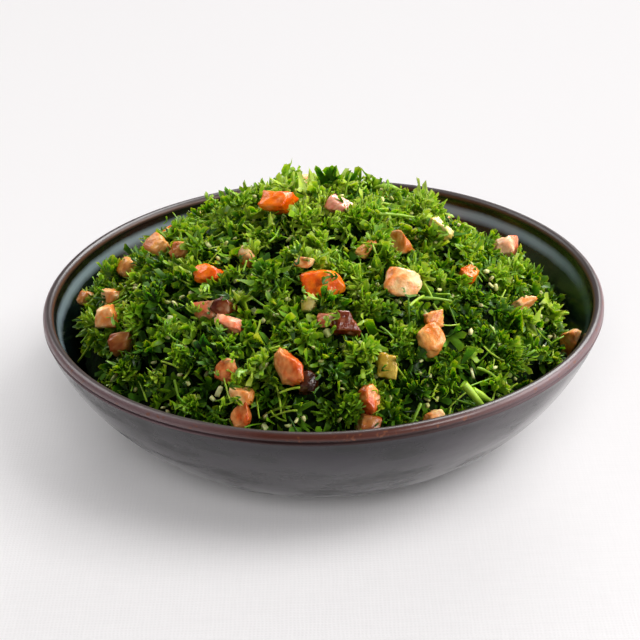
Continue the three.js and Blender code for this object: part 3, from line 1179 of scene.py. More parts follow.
@dataclass(frozen=True)
class Stalks:
    """Cut stalks: tubes along a bowed line between two ends, the seen ones and more around."""

    steps: int = 7
    sides: int = 7
    others: int = 44
    tries: int = 3  # how many places are drawn for each one that lies far enough back
    from_front: float = 6.0  # how far behind the middle the ones that aren't named start
    reach: float = 0.93
    length: Span = (6.0, 13.0)
    width: Span = (0.9, 2.3)
    bow: Span = (0.2, 1.0)
    lift: Span = (0.6, 2.4)
    taper: float = 0.22
    uneven: float = 0.06
    mottle: Span = (0.85, 1.1)
    brightest: tuple[float, ...] = (1.0, 0.95, 0.7)  # the first stalks' shares of the bright green
    bright: Colour = (168, 200, 62)
    middle: Colour = (112, 152, 36)

    def ends(self, mound: Mound, eye: "Eye", rng: Random) -> Array:
        """Where each stalk's two ends lie on the mound.

        Args:
            mound: what the stalks lie on.
            eye: turns the seen ends' pixels into places.
            rng: places and turns the others, behind the middle.

        Returns:
            Stalks x 2 x 3, the named ones first.
        """
        seen = np.array([[mound.struck_by(eye.place, eye.sight(at))
                          for at in (stem.start, stem.end)] for stem in STEMS])
        spots = mound.spots(self.others * self.tries, rng, self.reach)
        spots = spots[spots[:, 1] > self.from_front][:self.others]
        turn = rng.uniform(0, 2 * np.pi, len(spots))
        half = (rng.uniform(*self.length, len(spots)) / 2)[:, None]
        step = np.stack([np.cos(turn), np.sin(turn)], axis=1) * half
        return np.concatenate([seen, mound.on_ground(np.stack([spots - step, spots + step], 1))[0]])

    def make(self, tufts: Tufts, eye: "Eye") -> Batch:
        """Lays every stalk along its line.

        The middle line is the straight one between the ends, raised along the mound's normal by
        4 bow share (1 - share). A ring of side points stands across it at every step.

        Args:
            tufts: the tufts, with their mound.
            eye: turns the seen ends' pixels into places.

        Returns:
            The stalks as one batch.
        """
        rng = draws(Draw.STALKS)
        mound = tufts.mound
        ends = self.ends(mound, eye, rng)
        total, named = len(ends), len(STEMS)
        sizes = np.stack([rng.uniform(*span, total) for span in (self.width, self.bow, self.lift)])
        sizes[:, :named] = np.array([(stem.width, stem.bow, stem.lift) for stem in STEMS]).T
        widths, bows, lifts = sizes[..., None, None]
        middle = ends.mean(axis=1)
        normals = mound.normals(middle[:, 0], middle[:, 1])[:, None]
        share = np.linspace(0, 1, self.steps + 1)[None, :, None]
        line = ends[:, :1] * (1 - share) + ends[:, 1:] * share
        line = line + normals * (lifts + 4 * bows * share * (1 - share))
        along = unit(ends[:, 1] - ends[:, 0])
        across = unit(np.cross(along, normals[:, 0]))
        up = np.cross(across, along)
        around = np.arange(self.sides) * 2 * np.pi / self.sides
        ring = (across[:, None] * np.cos(around)[None, :, None]
                + up[:, None] * np.sin(around)[None, :, None])
        thin = 1 - self.taper * share + self.uneven * rng.normal(size=(total, self.steps + 1, 1))
        body = line[:, :, None] + ring[:, None] * (thin * widths / 2)[..., None]
        points = np.concatenate([body.reshape(total, -1, 3), line[:, [0, -1]]], axis=1)
        light = rng.uniform(0, 1, (total, 1, 1))
        light[:len(self.brightest), 0, 0] = self.brightest
        tint = linear(self.middle) * (1 - light) + linear(self.bright) * light
        shade = rng.uniform(*self.mottle, (total, points.shape[1], 1))
        rim = np.zeros(points.shape[1], bool)
        rim[-2:] = rim[:self.sides] = rim[-2 - self.sides:-2] = True
        return Batch(mound.bowl.keep_inside(points), tube_layout(self.steps, self.sides),
                     tint * shade, rim)


def cube_net(cells: int) -> tuple[Array, Array]:
    """A cube from -1 to 1 with a grid of cells on each face, its seams merged.

    Args:
        cells: squares along each edge.

    Returns:
        The points and the triangles, facing outwards.
    """
    line = np.linspace(-1, 1, cells + 1)
    across, up = (grid.ravel() for grid in np.meshgrid(line, line))
    faces, points = [], []
    corner = (np.arange(cells)[:, None] * (cells + 1) + np.arange(cells)).ravel()
    square = np.stack([corner, corner + 1, corner + cells + 2, corner + cells + 1], axis=1)
    for axis in range(3):
        for side in (1, -1):
            face = np.empty((len(across), 3))
            face[:, axis] = side
            face[:, (axis + 1) % 3] = across
            face[:, (axis + 2) % 3] = up
            order = square if side > 0 else square[:, ::-1]
            faces.append(order + len(points) * len(across))
            points.append(face)
    merged, number = np.unique(np.round(np.concatenate(points), 6), axis=0, return_inverse=True)
    quads = number.ravel()[np.concatenate(faces)]
    return merged, np.concatenate([quads[:, [0, 1, 2]], quads[:, [0, 2, 3]]])


@dataclass(frozen=True)
class Blocks:
    """Cut blocks: the cube drawn part of the way to a ball, then skewed, cut, dented and scaled.

    Attributes:
        cells: squares along each edge of the cube.
        pattern: picks the dents.
        rough: depth of the dents, as a share of the half size.
        cuts: how many slanting cuts take off a corner; each moves what lies past it onto its plane.
        rag: depth of the finest unevenness, in the same way.
    """

    cells: int
    pattern: int
    rough: float
    cuts: int = 0
    rag: float = 0.0
    ball: float = 1.15  # the ball's radius, in half sides of the cube
    skew: float = 0.13
    taper: float = 0.16
    cut_depth: Span = (0.6, 0.95)
    dents: Size = (1.6, 0.75, 0.4)  # sizes of the dents and of the finest unevenness, in half sizes
    second_dents: float = 0.6
    apart: float = 50.0  # keeps the dents of one piece from showing on the next

    def make(self, sizes: Array, roundness: Array) -> tuple[Array, Array]:
        """Cuts the blocks.

        Args:
            sizes: pieces x 3 full sizes.
            roundness: pieces, from 0 for a cube to 1 for a ball.

        Returns:
            Pieces x points x 3, about each piece's middle, and the triangles of one piece.
        """
        cube, faces = cube_net(self.cells)
        ball = unit(cube) * self.ball
        rng = draws(Draw.BLOCKS, self.pattern)
        count, share = len(sizes), roundness[:, None, None]
        mixed = cube[None] * (1 - share) + ball[None] * share
        skew = np.eye(3)[None] + rng.normal(0, self.skew, (count, 3, 3)) * (1 - np.eye(3))[None]
        mixed[..., 1:] *= 1 + rng.normal(0, self.taper, (count, 1, 1)) * mixed[..., :1]
        shaped = np.einsum("nij,nkj->nki", skew, mixed)
        for _ in range(self.cuts):
            face = unit(rng.normal(size=(count, 1, 3)))
            past = (shaped * face).sum(axis=2, keepdims=True)
            past = past - rng.uniform(*self.cut_depth, (count, 1, 1))
            shaped = shaped - np.maximum(past, 0) * face
        places = shaped + rng.uniform(0, self.apart, (count, 1, 3))
        coarse, fine, finest = (soft_noise(places, size, self.pattern + step)
                                for step, size in enumerate(self.dents))
        relief = self.rough * (coarse + self.second_dents * fine) + self.rag * finest
        return shaped * (1 + relief[..., None]) * sizes[:, None] / 2, faces


# ---- Tomato, onion and bulgur ----


class Flesh(Enum):
    """How a cut tomato piece looks: its outer and its inner colour, in screen values."""

    SCARLET = ((240, 90, 4), (252, 126, 14))
    ORANGE = ((204, 82, 20), (236, 152, 84))
    PEACH = ((236, 140, 64), (255, 212, 150))
    HONEY = ((204, 110, 34), (234, 166, 90))
    ROSE = ((240, 138, 110), (250, 184, 156))
    PINK = ((222, 118, 76), (248, 194, 150))
    GOLD = ((190, 150, 40), (224, 190, 84))
    MAROON = ((100, 26, 3), (136, 66, 28))
    SHADED = ((52, 16, 3), (84, 40, 18))
    RUST = ((150, 70, 20), (180, 116, 56))
    CREAM = ((206, 176, 76), (232, 210, 136))


@dataclass(frozen=True)
class Chunk:
    """A tomato piece that shows: its pixel, its size, its colours, its turn and its lift."""

    at: Pixel
    size: Size
    flesh: Flesh
    turn: float
    lift: float


CHUNKS = (
    Chunk((284, 208), (10.8, 8.0, 7.5), Flesh.SCARLET, 10, 3.8),
    Chunk((340, 207), (8.5, 6.5, 5.5), Flesh.ROSE, -20, 1.8),
    Chunk((211, 276), (10.0, 8.0, 7.0), Flesh.SCARLET, 15, 1.2),
    Chunk((323, 285), (13.0, 9.5, 7.5), Flesh.SCARLET, 18, 1.9),
    Chunk((399, 284), (13.5, 10.0, 7.5), Flesh.PEACH, -28, 1.5),
    Chunk((400, 244), (7.5, 9.0, 7.0), Flesh.HONEY, 15, 1.6),
    Chunk((438, 234), (5.5, 10.0, 5.5), Flesh.CREAM, 15, 2.4),
    Chunk((467, 276), (6.5, 5.5, 5.0), Flesh.SCARLET, 20, 2.2),
    Chunk((504, 254), (9.0, 8.0, 7.5), Flesh.PINK, 0, 4.4),
    Chunk((431, 343), (9.5, 9.5, 8.0), Flesh.HONEY, 8, 1.6),
    Chunk((430, 322), (7.0, 6.0, 5.0), Flesh.HONEY, -10, 1.8),
    Chunk((520, 308), (8.5, 5.0, 4.5), Flesh.PEACH, 35, 2.8),
    Chunk((560, 346), (9.0, 8.0, 7.0), Flesh.PEACH, 0, 5.4),
    Chunk((346, 325), (10.0, 7.0, 6.0), Flesh.MAROON, -25, 0.8),
    Chunk((330, 320), (7.0, 5.0, 5.0), Flesh.PINK, 20, 0.4),
    Chunk((288, 368), (8.5, 13.0, 9.0), Flesh.ORANGE, 12, 1.4),
    Chunk((308, 383), (6.0, 7.5, 6.0), Flesh.SHADED, 0, -1.6),
    Chunk((226, 372), (8.5, 8.0, 7.0), Flesh.ORANGE, -15, 0.8),
    Chunk((242, 396), (7.5, 8.0, 7.0), Flesh.PEACH, 0, 1.0),
    Chunk((241, 415), (6.5, 8.0, 6.0), Flesh.ORANGE, 20, 0.6),
    Chunk((367, 402), (7.5, 8.5, 7.0), Flesh.ORANGE, 10, 1.0),
    Chunk((368, 425), (7.0, 7.0, 6.0), Flesh.RUST, -20, 0.5),
    Chunk((384, 368), (7.0, 9.5, 6.0), Flesh.GOLD, -12, 0.8),
    Chunk((208, 315), (8.0, 8.0, 6.0), Flesh.PINK, 20, 1.8),
    Chunk((225, 309), (7.5, 7.0, 6.0), Flesh.MAROON, -10, 0.5),
    Chunk((229, 332), (10.5, 6.5, 6.0), Flesh.PINK, -25, 3.2),
    Chunk((107, 320), (9.5, 9.5, 8.5), Flesh.PEACH, 30, 1.8),
    Chunk((132, 273), (8.5, 6.5, 6.5), Flesh.HONEY, -15, 3.4),
    Chunk((162, 252), (9.5, 7.0, 6.5), Flesh.HONEY, 10, 2.8),
    Chunk((187, 253), (8.0, 6.0, 5.0), Flesh.HONEY, 30, 2.4),
    Chunk((113, 298), (8.5, 6.0, 5.5), Flesh.PEACH, 20, 1.4),
    Chunk((92, 302), (6.5, 6.0, 5.5), Flesh.HONEY, 0, 2.8),
    Chunk((120, 345), (8.5, 8.0, 6.0), Flesh.RUST, 0, 0.6),
    Chunk((310, 304), (5.5, 6.0, 4.5), Flesh.CREAM, 20, 1.0),
    Chunk((433, 419), (8.0, 5.5, 5.0), Flesh.PEACH, 10, 0.8),
    Chunk((366, 249), (8.0, 4.5, 4.0), Flesh.HONEY, 40, 0.2),
    Chunk((248, 258), (7.5, 5.5, 4.5), Flesh.PEACH, -30, 0.6),
    Chunk((305, 264), (5.5, 4.0, 3.5), Flesh.PEACH, 0, 1.0),
)


@dataclass(frozen=True)
class Dice:
    """Hand-cut tomato: the chunks that show from the front, and more like them on the far sides."""

    blocks: Blocks = Blocks(cells=9, pattern=Pattern.DICE, rough=0.08, cuts=2, rag=0.04)
    roundness: Span = (0.34, 0.66)
    shrink: float = 0.95
    facing: float = 0.4  # how far the pieces' upper sides turn to the front
    least_lean: float = 0.2  # a piece that faces up more nearly than this is turned from +X
    clearing: float = 0.96  # the radius that the parsley keeps clear of, as a share of the piece's
    clear_before: float = 1.2  # how far in front of a piece the parsley is lowest
    far_count: int = 34
    far_tries: int = 2  # how many places are drawn for each one that lies far enough back
    far_from_front: float = 36.0  # how far behind the middle the scattered ones start
    far_reach: float = 0.94
    far_size: Span = (6.0, 11.0)
    far_shape: Size = (1.0, 0.85, 0.75)
    far_radius: float = 4.5
    far_lift: Span = (-0.2, 1.2)
    far_kinds: tuple[tuple[Flesh, float], ...] = (  # the kinds, and the share of each
        (Flesh.SCARLET, 0.2), (Flesh.ORANGE, 0.22), (Flesh.PEACH, 0.24), (Flesh.ROSE, 0.08),
        (Flesh.PINK, 0.12), (Flesh.RUST, 0.14))
    skin_fade: float = 1.1  # how soon the skin side's colour gives way to the inner one
    patches: tuple[Span, ...] = ((5.0, 0.5), (2.0, 0.35))  # size and strength of the pale patches
    vein_size: float = 2.6
    vein_light: Size = (0.6, 0.3, 0.28)  # the pale pulp's strength, threshold and most
    pulp: Colour = (244, 206, 156)

    def outlines(self, spots: Array) -> Array:
        """The pieces seen from above.

        Args:
            spots: rows of x and y, the chunks' first.

        Returns:
            Rows of x, y and radius.
        """
        radii = np.full(len(spots), self.far_radius)
        radii[:len(CHUNKS)] = [np.mean(c.size[:2]) / 2 for c in CHUNKS]
        return np.concatenate([spots, radii[:, None]], axis=1)

    def hollows(self, spots: Array) -> Array:
        """Rows of x, y and radius that the parsley keeps clear of."""
        return (self.outlines(spots) - [0, self.clear_before, 0]) * [1, 1, self.clearing]

    def spots(self, mound: Mound, eye: "Eye") -> Array:
        """Where the pieces lie.

        Args:
            mound: what they lie on.
            eye: turns the chunks' pixels into places.

        Returns:
            Rows of x and y: the chunks, then the far side's own.
        """
        seen = np.array([mound.struck_by(eye.place, eye.sight(c.at))[:2] for c in CHUNKS])
        others = mound.spots(self.far_count * self.far_tries, draws(Draw.FAR_DICE), self.far_reach)
        behind = others[others[:, 1] > self.far_from_front]
        return np.concatenate([seen, behind[:self.far_count]])

    def frames(self, normals: Array, turn: Array, eye: "Eye") -> Array:
        """Each piece's directions: turned in the plane that faces up and a little to the front.

        Args:
            normals: the mound's normals under them.
            turn: their turns in that plane, anticlockwise in the picture.
            eye: the camera, whose right is a turn of nothing.

        Returns:
            One 3 x 3 matrix a piece.
        """
        facing = unit(normals - self.facing * eye.forward)
        across = np.cross(facing, [0.0, 0.0, 1.0]) * -1
        leans = np.linalg.norm(across, axis=1, keepdims=True) > self.least_lean
        across = unit(np.where(leans, across, [[1.0, 0, 0]]))
        along = np.cross(facing, across)
        flip = np.sign(across @ eye.right)[:, None]
        across, along = across * flip, along * flip
        cos, sin = np.cos(turn)[:, None], np.sin(turn)[:, None]
        return np.stack([across * cos + along * sin, along * cos - across * sin, facing], axis=-1)

    def tints(self, flesh: list[Flesh], points: Array, across: Array, side: Array) -> Array:
        """The pieces' colours: from the skin side's to the inner one, with patches and pale pulp.

        Args:
            flesh: each piece's kind.
            points: pieces x points x 3, in the bowl.
            across: pieces x points x 1, from the skin side to the far one or the other way round.
            side: pieces x 1 x 1, which way round, as 1 or -1.

        Returns:
            Pieces x points x 3 linear colours.
        """
        outer, inner = (np.stack([linear(f.value[i]) for f in flesh])[:, None] for i in (0, 1))
        pale = 0.5 + self.skin_fade * across * side
        for pattern, (size, strength) in zip((Pattern.PALE, Pattern.PALE_FINE), self.patches):
            pale = pale + strength * soft_noise(points, size, pattern)[..., None]
        pale = np.clip(pale, 0, 1)
        strength, threshold, most = self.vein_light
        vein = strength * soft_noise(points, self.vein_size, Pattern.VEINS) - threshold
        vein = np.clip(vein, 0, most)[..., None] * pale
        return (outer * (1 - pale) + inner * pale) * (1 - vein) + linear(self.pulp) * vein

    def make(self, mound: Mound, spots: Array, eye: "Eye") -> Batch:
        """Cuts every block and sets it half into the heap.

        Args:
            mound: what they lie in.
            spots: rows of x and y, the chunks' first.
            eye: the camera, for the way they face.

        Returns:
            The dice as one batch.
        """
        rng = draws(Draw.DICE)
        count, named = len(spots), len(CHUNKS)
        kinds, shares = zip(*self.far_kinds)
        flesh = [c.flesh for c in CHUNKS]
        flesh += [kinds[i] for i in rng.choice(len(kinds), count - named, p=shares)]
        sizes = rng.uniform(*self.far_size, (count, 3)) * self.far_shape
        sizes[:named] = [c.size for c in CHUNKS]
        sizes *= self.shrink
        turn = rng.uniform(0, 2 * np.pi, count)
        turn[:named] = np.radians([c.turn for c in CHUNKS])
        lift = rng.uniform(*self.far_lift, count)
        lift[:named] = [c.lift for c in CHUNKS]
        local, faces = self.blocks.make(sizes, rng.uniform(*self.roundness, count))
        ground, normals = mound.on_ground(spots)
        base, frames = ground + normals * lift[:, None], self.frames(normals, turn, eye)
        points = Seats(base, frames, np.zeros(count)).place(local)
        side = np.sign(rng.uniform(-1, 1, (count, 1, 1)))
        tint = self.tints(flesh, points, (local / sizes[:, None])[..., :1], side)
        rim = np.zeros(local.shape[1], bool)
        return Batch(mound.bowl.keep_inside(points), faces, tint, rim)


@dataclass(frozen=True)
class Grains:
    """Soaked bulgur, or cut onion: small blocks scattered over the heap."""

    name: str
    count: int
    length: Span
    width: Span
    flat: float
    light: Colour
    dark: Colour
    key: int
    cells: int = 2
    rough: float = 0.1
    roundness: Span = (0.45, 0.8)
    lay: Lay = Lay(Lie.EVEN, (-0.8, 1.2), 0.5, (0.0, 0.5), sunk=2.0)

    def make(self, tufts: Tufts) -> Batch:
        """Makes the grains and scatters them.

        Args:
            tufts: the tufts, with their mound and what lies on top.

        Returns:
            The grains as one batch.
        """
        rng = draws(Draw.GRAINS, self.key)
        width = rng.uniform(*self.width, self.count)
        sizes = np.stack([width, rng.uniform(*self.length, self.count), width * self.flat], axis=1)
        blocks = Blocks(self.cells, Pattern.GRAINS + self.key, self.rough)
        local, faces = blocks.make(sizes, rng.uniform(*self.roundness, self.count))
        seats = tufts.seat(self.lay, self.count, rng)
        points = seats.place(local)
        share = rng.uniform(0, 1, (self.count, 1, 1))
        tint = linear(self.dark) * (1 - share) + linear(self.light) * share
        rim = np.zeros(local.shape[1], bool)
        return Batch(tufts.mound.bowl.keep_inside(points), faces,
                     np.broadcast_to(tint, points.shape).copy(), rim)


# ---- Finishes ----


class NodeBench:
    """Short calls that build one material's nodes."""

    def __init__(self, name: str) -> None:
        """Starts a material with its shader and the object's own coordinates.

        Args:
            name: the material's name.
        """
        self.material = bpy.data.materials.new(name)
        self.material.use_nodes = True
        self.nodes = self.material.node_tree.nodes
        self.links = self.material.node_tree.links
        self.shader = self.nodes["Principled BSDF"]
        self.place = self.add("ShaderNodeTexCoord").outputs["Object"]

    def add(self, kind: str, inputs: dict[str | int, object] | None = None,
            **settings: object) -> bpy.types.Node:
        """Adds a node.

        Args:
            kind: the node's type.
            inputs: a value or a socket for each input, by name or number.
            settings: the node's own properties.

        Returns:
            The node.
        """
        node = self.nodes.new(kind)
        for key, value in settings.items():
            setattr(node, key, value)
        for key, value in (inputs or {}).items():
            self.feed(node.inputs[key], value)
        return node

    def feed(self, socket: Socket, value: object) -> None:
        """Links a socket to another, or sets its value.

        Args:
            socket: the socket that is fed.
            value: a socket or a value.
        """
        if isinstance(value, Socket):
            self.links.new(value, socket)
        else:
            socket.default_value = value

    def noise(self, size: float, detail: float = 3.0, roughness: float = 0.55,
              stretch: Size = (1.0, 1.0, 1.0)) -> Socket:
        """Noise from 0 to 1.

        Args:
            size: about how large its features are, in millimetres.
            detail: how many finer layers it has.
            roughness: how strong they are.
            stretch: how much closer together the features lie along each axis.

        Returns:
            The noise's socket.
        """
        scaled = self.add("ShaderNodeMapping", {"Vector": self.place, "Scale": stretch})
        return self.add("ShaderNodeTexNoise", {
            "Vector": scaled.outputs[0], "Scale": 1 / (size * MM), "Detail": detail,
            "Roughness": roughness}).outputs["Fac"]

    def axis(self, name: str) -> Socket:
        """One of the place's own coordinates, in metres."""
        return self.add("ShaderNodeSeparateXYZ", {0: self.place}).outputs[name]

    def attribute(self, name: str, output: str = "Fac") -> Socket:
        """Reads one of the mesh's attributes."""
        return self.add("ShaderNodeAttribute", attribute_name=name).outputs[output]

    def math(self, operation: str, one: object, two: object = 0.0, three: object = 0.0) -> Socket:
        """A Math node."""
        node = self.add("ShaderNodeMath", {0: one, 1: two, 2: three}, operation=operation)
        return node.outputs[0]

    def spread(self, value: object, low: float, high: float, to_low: float = 0.0,
               to_high: float = 1.0) -> Socket:
        """Maps a value evenly to a new one.

        Args:
            value: a socket.
            low: the value that gives the first new one.
            high: the value that gives the second; low may be the larger of the two.
            to_low: the first new value, which holds past low.
            to_high: the second, which holds past high.

        Returns:
            The new value's socket.
        """
        return self.add("ShaderNodeMapRange", {
            "Value": value, "From Min": low, "From Max": high, "To Min": to_low,
            "To Max": to_high}).outputs["Result"]

    def between(self, place: object, span: Span) -> Socket:
        """A share from 0 to 1 between two places along an axis, given in millimetres."""
        return self.spread(place, span[0] * MM, span[1] * MM)

    def product(self, *shares: object) -> Socket:
        """The shares, multiplied with each other."""
        return reduce(lambda one, two: self.math("MULTIPLY", one, two), shares)

    def toned(self, colour: object, tone: object) -> Socket:
        """A colour, brightened or darkened by a factor."""
        grey = self.add("ShaderNodeCombineColor", {0: tone, 1: tone, 2: tone}).outputs[0]
        return self.mix(1.0, colour, grey, "MULTIPLY")

    def mix(self, share: object, one: object, two: object, blend: str = "MIX") -> Socket:
        """Mixes two colours.

        Args:
            share: how much of the second there is.
            one: the first colour, as a socket or screen values.
            two: the second.
            blend: the way they are mixed.

        Returns:
            The mixed colour's socket.
        """
        colours = [c if isinstance(c, Socket) else (*linear(c), 1) for c in (one, two)]
        return self.add("ShaderNodeMix", {0: share, 6: colours[0], 7: colours[1]},
                        data_type="RGBA", blend_type=blend).outputs[2]

    def ramp(self, value: object, stops: tuple[tuple[float, Colour], ...]) -> Socket:
        """Colours along a value.

        Args:
            value: a socket, from 0 to 1.
            stops: the place and the screen values of each colour.

        Returns:
            The colour's socket.
        """
        node = self.add("ShaderNodeValToRGB", {"Fac": value})
        ramp = node.color_ramp
        for place, _ in stops[2:]:
            ramp.elements.new(place)
        for element, (place, colour) in zip(ramp.elements, stops):
            element.position = place
            element.color = (*linear(colour), 1)
        return node.outputs["Color"]

    def bump(self, height: object, depth: float, strength: float = 1.0,
             below: object = None) -> Socket:
        """Adds relief.

        Args:
            height: a socket, from 0 to 1.
            depth: how high one is, in millimetres.
            strength: how much of it the light sees.
            below: a relief that it lies on, instead of the mesh.

        Returns:
            The normal's socket.
        """
        inputs = {"Height": height, "Distance": depth * MM, "Strength": strength}
        if below is not None:
            inputs["Normal"] = below
        return self.add("ShaderNodeBump", inputs).outputs["Normal"]

    def dress(self, **sockets: object) -> Material:
        """Sets the shader's sockets.

        Args:
            sockets: values or sockets by the input's name, with _ for a space.

        Returns:
            The material.
        """
        for key, value in sockets.items():
            self.feed(self.shader.inputs[key.replace("_", " ")], value)
        return self.material


@dataclass(frozen=True)
class Glaze:
    """The fired glaze: charcoal outside, iron brown where it thins at the lip, deep teal inside."""

    outside: Colour = (23, 15, 28)
    # a painted reflection of the bright floor on the outer wall's right side
    outer_wall_painted_reflection: Colour = (86, 80, 82)
    smudge: Colour = (12, 12, 15)
    # line and the lip's outer half: the lip's mauve glaze, lightened as a painted reflection of the
    # bright floor
    line: Colour = (104, 80, 84)
    lip_outer_and_reflection: Colour = (118, 94, 96)
    rust_line: Colour = (40, 3, 2)
    rust_outer: Colour = (80, 36, 24)
    # orange specks over the lip's outer half, laid by noise
    orange_lip_speck: Colour = (128, 74, 44)
    # the lip's top: its glaze, darkened as painted shade
    lip: Colour = (54, 44, 43)
    lip_inside: Colour = (86, 50, 30)
    under_lip: Colour = (12, 8, 5)
    # a painted reflection: the pale blue-grey band inside past the lip, bluer on the right and
    # dimmer at the back right
    inner_painted_reflection: Colour = (122, 137, 142)
    inner_painted_reflection_right: Colour = (142, 154, 174)
    inner_painted_reflection_dim: Colour = (44, 60, 54)
    inside: Colour = (2, 10, 10)
    clay: Colour = (96, 82, 70)
    bare_height: float = 0.9  # the foot has no glaze below this
    wall_start: float = -6.0  # how far past the lip's top the outer wall starts
    brush_start: float = -6.1
    span: Span = (-14.0, 26.0)  # the distances past the lip's top that the ramp covers
    # where a change comes in and where it is complete: along X, or from the back to the front
    cool_side: Span = (-40.0, 60.0)
    rust_left: Span = (-56.0, -20.0)
    rust_right: Span = (80.0, 32.0)
    rust_front: Span = (-20.0, -70.0)
    dim_reflection_side: Span = (60.0, 90.0)
    dim_reflection_front: Span = (50.0, 5.0)
    # where the outer wall's painted reflection starts and where it is full
    painted_reflection_side: Span = (28.0, 100.0)

    def bands(self, bench: NodeBench, share: object, line: Colour, lip: Colour,
              inner_painted_reflection: Colour) -> Socket:
        """The glaze from the outside to the inside, as a ramp over millimetres past the lip's top.

        Args:
            bench: the material's nodes.
            share: where a place lies on the ramp, from 0 to 1.
            line: the line under the lip, dark where rusty and lightened as a painted reflection
                elsewhere.
            lip: the outer half of the lip, lightened as a painted reflection where it isn't rusty.
            inner_painted_reflection: the pale band past the lip, a painted reflection.

        Returns:
            The colour.
        """
        low, high = self.span
        stops = ((-6.2, self.outside), (-5.9, line), (-3.4, line), (-2.8, lip), (-1.5, lip),
                 (-0.4, self.lip), (1.2, self.lip), (2.3, self.lip_inside), (3.3, self.under_lip),
                 (5.4, self.under_lip), (7.3, inner_painted_reflection), (8.6, inner_painted_reflection), (11.0, self.inside),
                 (high, self.inside))
        return bench.ramp(share, tuple(((at - low) / (high - low), tone) for at, tone in stops))

    def make(self) -> Material:
        """Paints by the distance past the lip's top, which wavers a little as a run glaze does.

        Returns:
            The material.
        """
        bench = NodeBench("stoneware_glaze")
        inward = bench.attribute("inward")
        waver = bench.math("SUBTRACT", bench.noise(14), 0.5)
        fine = bench.math("SUBTRACT", bench.noise(2.6, 4), 0.5)
        place = bench.math("MULTIPLY_ADD", waver, bench.spread(inward, 4, 14, 0.5, 3.0), inward)
        place = bench.math("MULTIPLY_ADD", fine, 0.35, place)
        share = bench.spread(place, *self.span)
        side, depth, height = (bench.axis(name) for name in "XYZ")

        def glaze(line: Colour, lip: Colour, inner_painted_reflection: Colour) -> Socket:
            """The bands with these three colours."""
            return self.bands(bench, share, line, lip, inner_painted_reflection)

        # painted reflection: outside the rusty front, the line and the lip's outer half are
        # lightened
        plain = (self.line, self.lip_outer_and_reflection)
        rusty = bench.product(bench.between(side, self.rust_left),
                              bench.between(side, self.rust_right),
                              bench.between(depth, self.rust_front))
        # painted reflection inside the lip: bluer towards the right, dimmer at the back right
        thin = bench.product(bench.between(side, self.dim_reflection_side),
                             bench.between(depth, self.dim_reflection_front))
        colour = bench.mix(bench.between(side, self.cool_side), glaze(*plain, self.inner_painted_reflection),
                           glaze(*plain, self.inner_painted_reflection_right))
        colour = bench.mix(rusty, colour, glaze(self.rust_line, self.rust_outer, self.inner_painted_reflection))
        colour = bench.mix(thin, colour, glaze(*plain, self.inner_painted_reflection_dim))
        on_outer_lip = bench.math("COMPARE", inward, -2.4, 1.1)
        spots = bench.product(bench.spread(bench.noise(2.2, 2), 0.6, 0.68, 0.0, 0.6), on_outer_lip)
        colour = bench.mix(spots, colour, self.orange_lip_speck)
        # painted reflection: the outer wall grows paler towards the right, and its smudges fainter
        # there
        painted_reflection_share = bench.product(bench.between(side, self.painted_reflection_side),
                              bench.math("LESS_THAN", inward, self.wall_start))
        brushed = bench.spread(bench.noise(26, 4, 0.6, (1.0, 1.0, 2.6)), 0.42, 0.66)
        brushed = bench.product(brushed, bench.math("LESS_THAN", inward, self.brush_start),
                                bench.spread(painted_reflection_share, 0, 1, 1.0, 0.4))
        colour = bench.mix(brushed, bench.mix(painted_reflection_share, colour, self.outer_wall_painted_reflection), self.smudge)
        speck = bench.spread(bench.noise(0.8, 2), 0.66, 0.74, 0.0, 0.18)
        colour = bench.mix(speck, colour, self.under_lip)
        bare = bench.math("LESS_THAN", height, self.bare_height * MM)
        colour = bench.mix(bare, colour, self.clay)
        rough = bench.spread(inward, -4.0, 6.0, 0.05, 0.16)
        for middle, reach, more in ((0.0, 3.4, 0.2), (-4.8, 1.3, 0.5)):  # the lip, and the line
            banded = bench.math("COMPARE", inward, middle, reach)
            rough = bench.math("MULTIPLY_ADD", banded, more, rough)
        rough = bench.math("MULTIPLY_ADD", brushed, 0.3, rough)
        rough = bench.math("MULTIPLY_ADD", bench.noise(9, 3), 0.1, rough)
        relief = bench.bump(bench.noise(16, 2), 0.5, 0.5)
        relief = bench.bump(bench.noise(0.9, 3), 0.05, 0.4, relief)
        return bench.dress(Base_Color=colour, Roughness=rough, Normal=relief, IOR=1.5)


@dataclass(frozen=True)
class LeafSkin:
    """Wet parsley: the piece's own green, mottled, with fine veins in relief."""

    name: str = "parsley_leaf"
    roughness: Span = (0.26, 0.5)
    shine: float = 0.28
    vein: float = 0.12  # how high the veins stand, in millimetres
    translucent: float = 0.3
    light_paths: Size = (0.6, 1.0, 0.1)  # how far red, green and blue go in, in its scale
    scale: float = 0.8

    def make(self) -> Material:
        """Builds the leaf's finish from the mesh's tint.

        Returns:
            The material.
        """
        bench = NodeBench(self.name)
        mottle = bench.spread(bench.noise(1.6, 3), 0.3, 0.7, 0.82, 1.16)
        colour = bench.toned(bench.attribute("tint", "Color"), mottle)
        rough = bench.spread(bench.noise(2.2, 2), 0.35, 0.65, *self.roughness)
        relief = bench.bump(bench.noise(0.7, 3), self.vein, 0.6)
        return bench.dress(
            Base_Color=colour, Roughness=rough, Normal=relief, Specular_IOR_Level=self.shine,
            Subsurface_Weight=self.translucent, Subsurface_Radius=self.light_paths,
            Subsurface_Scale=self.scale * MM)


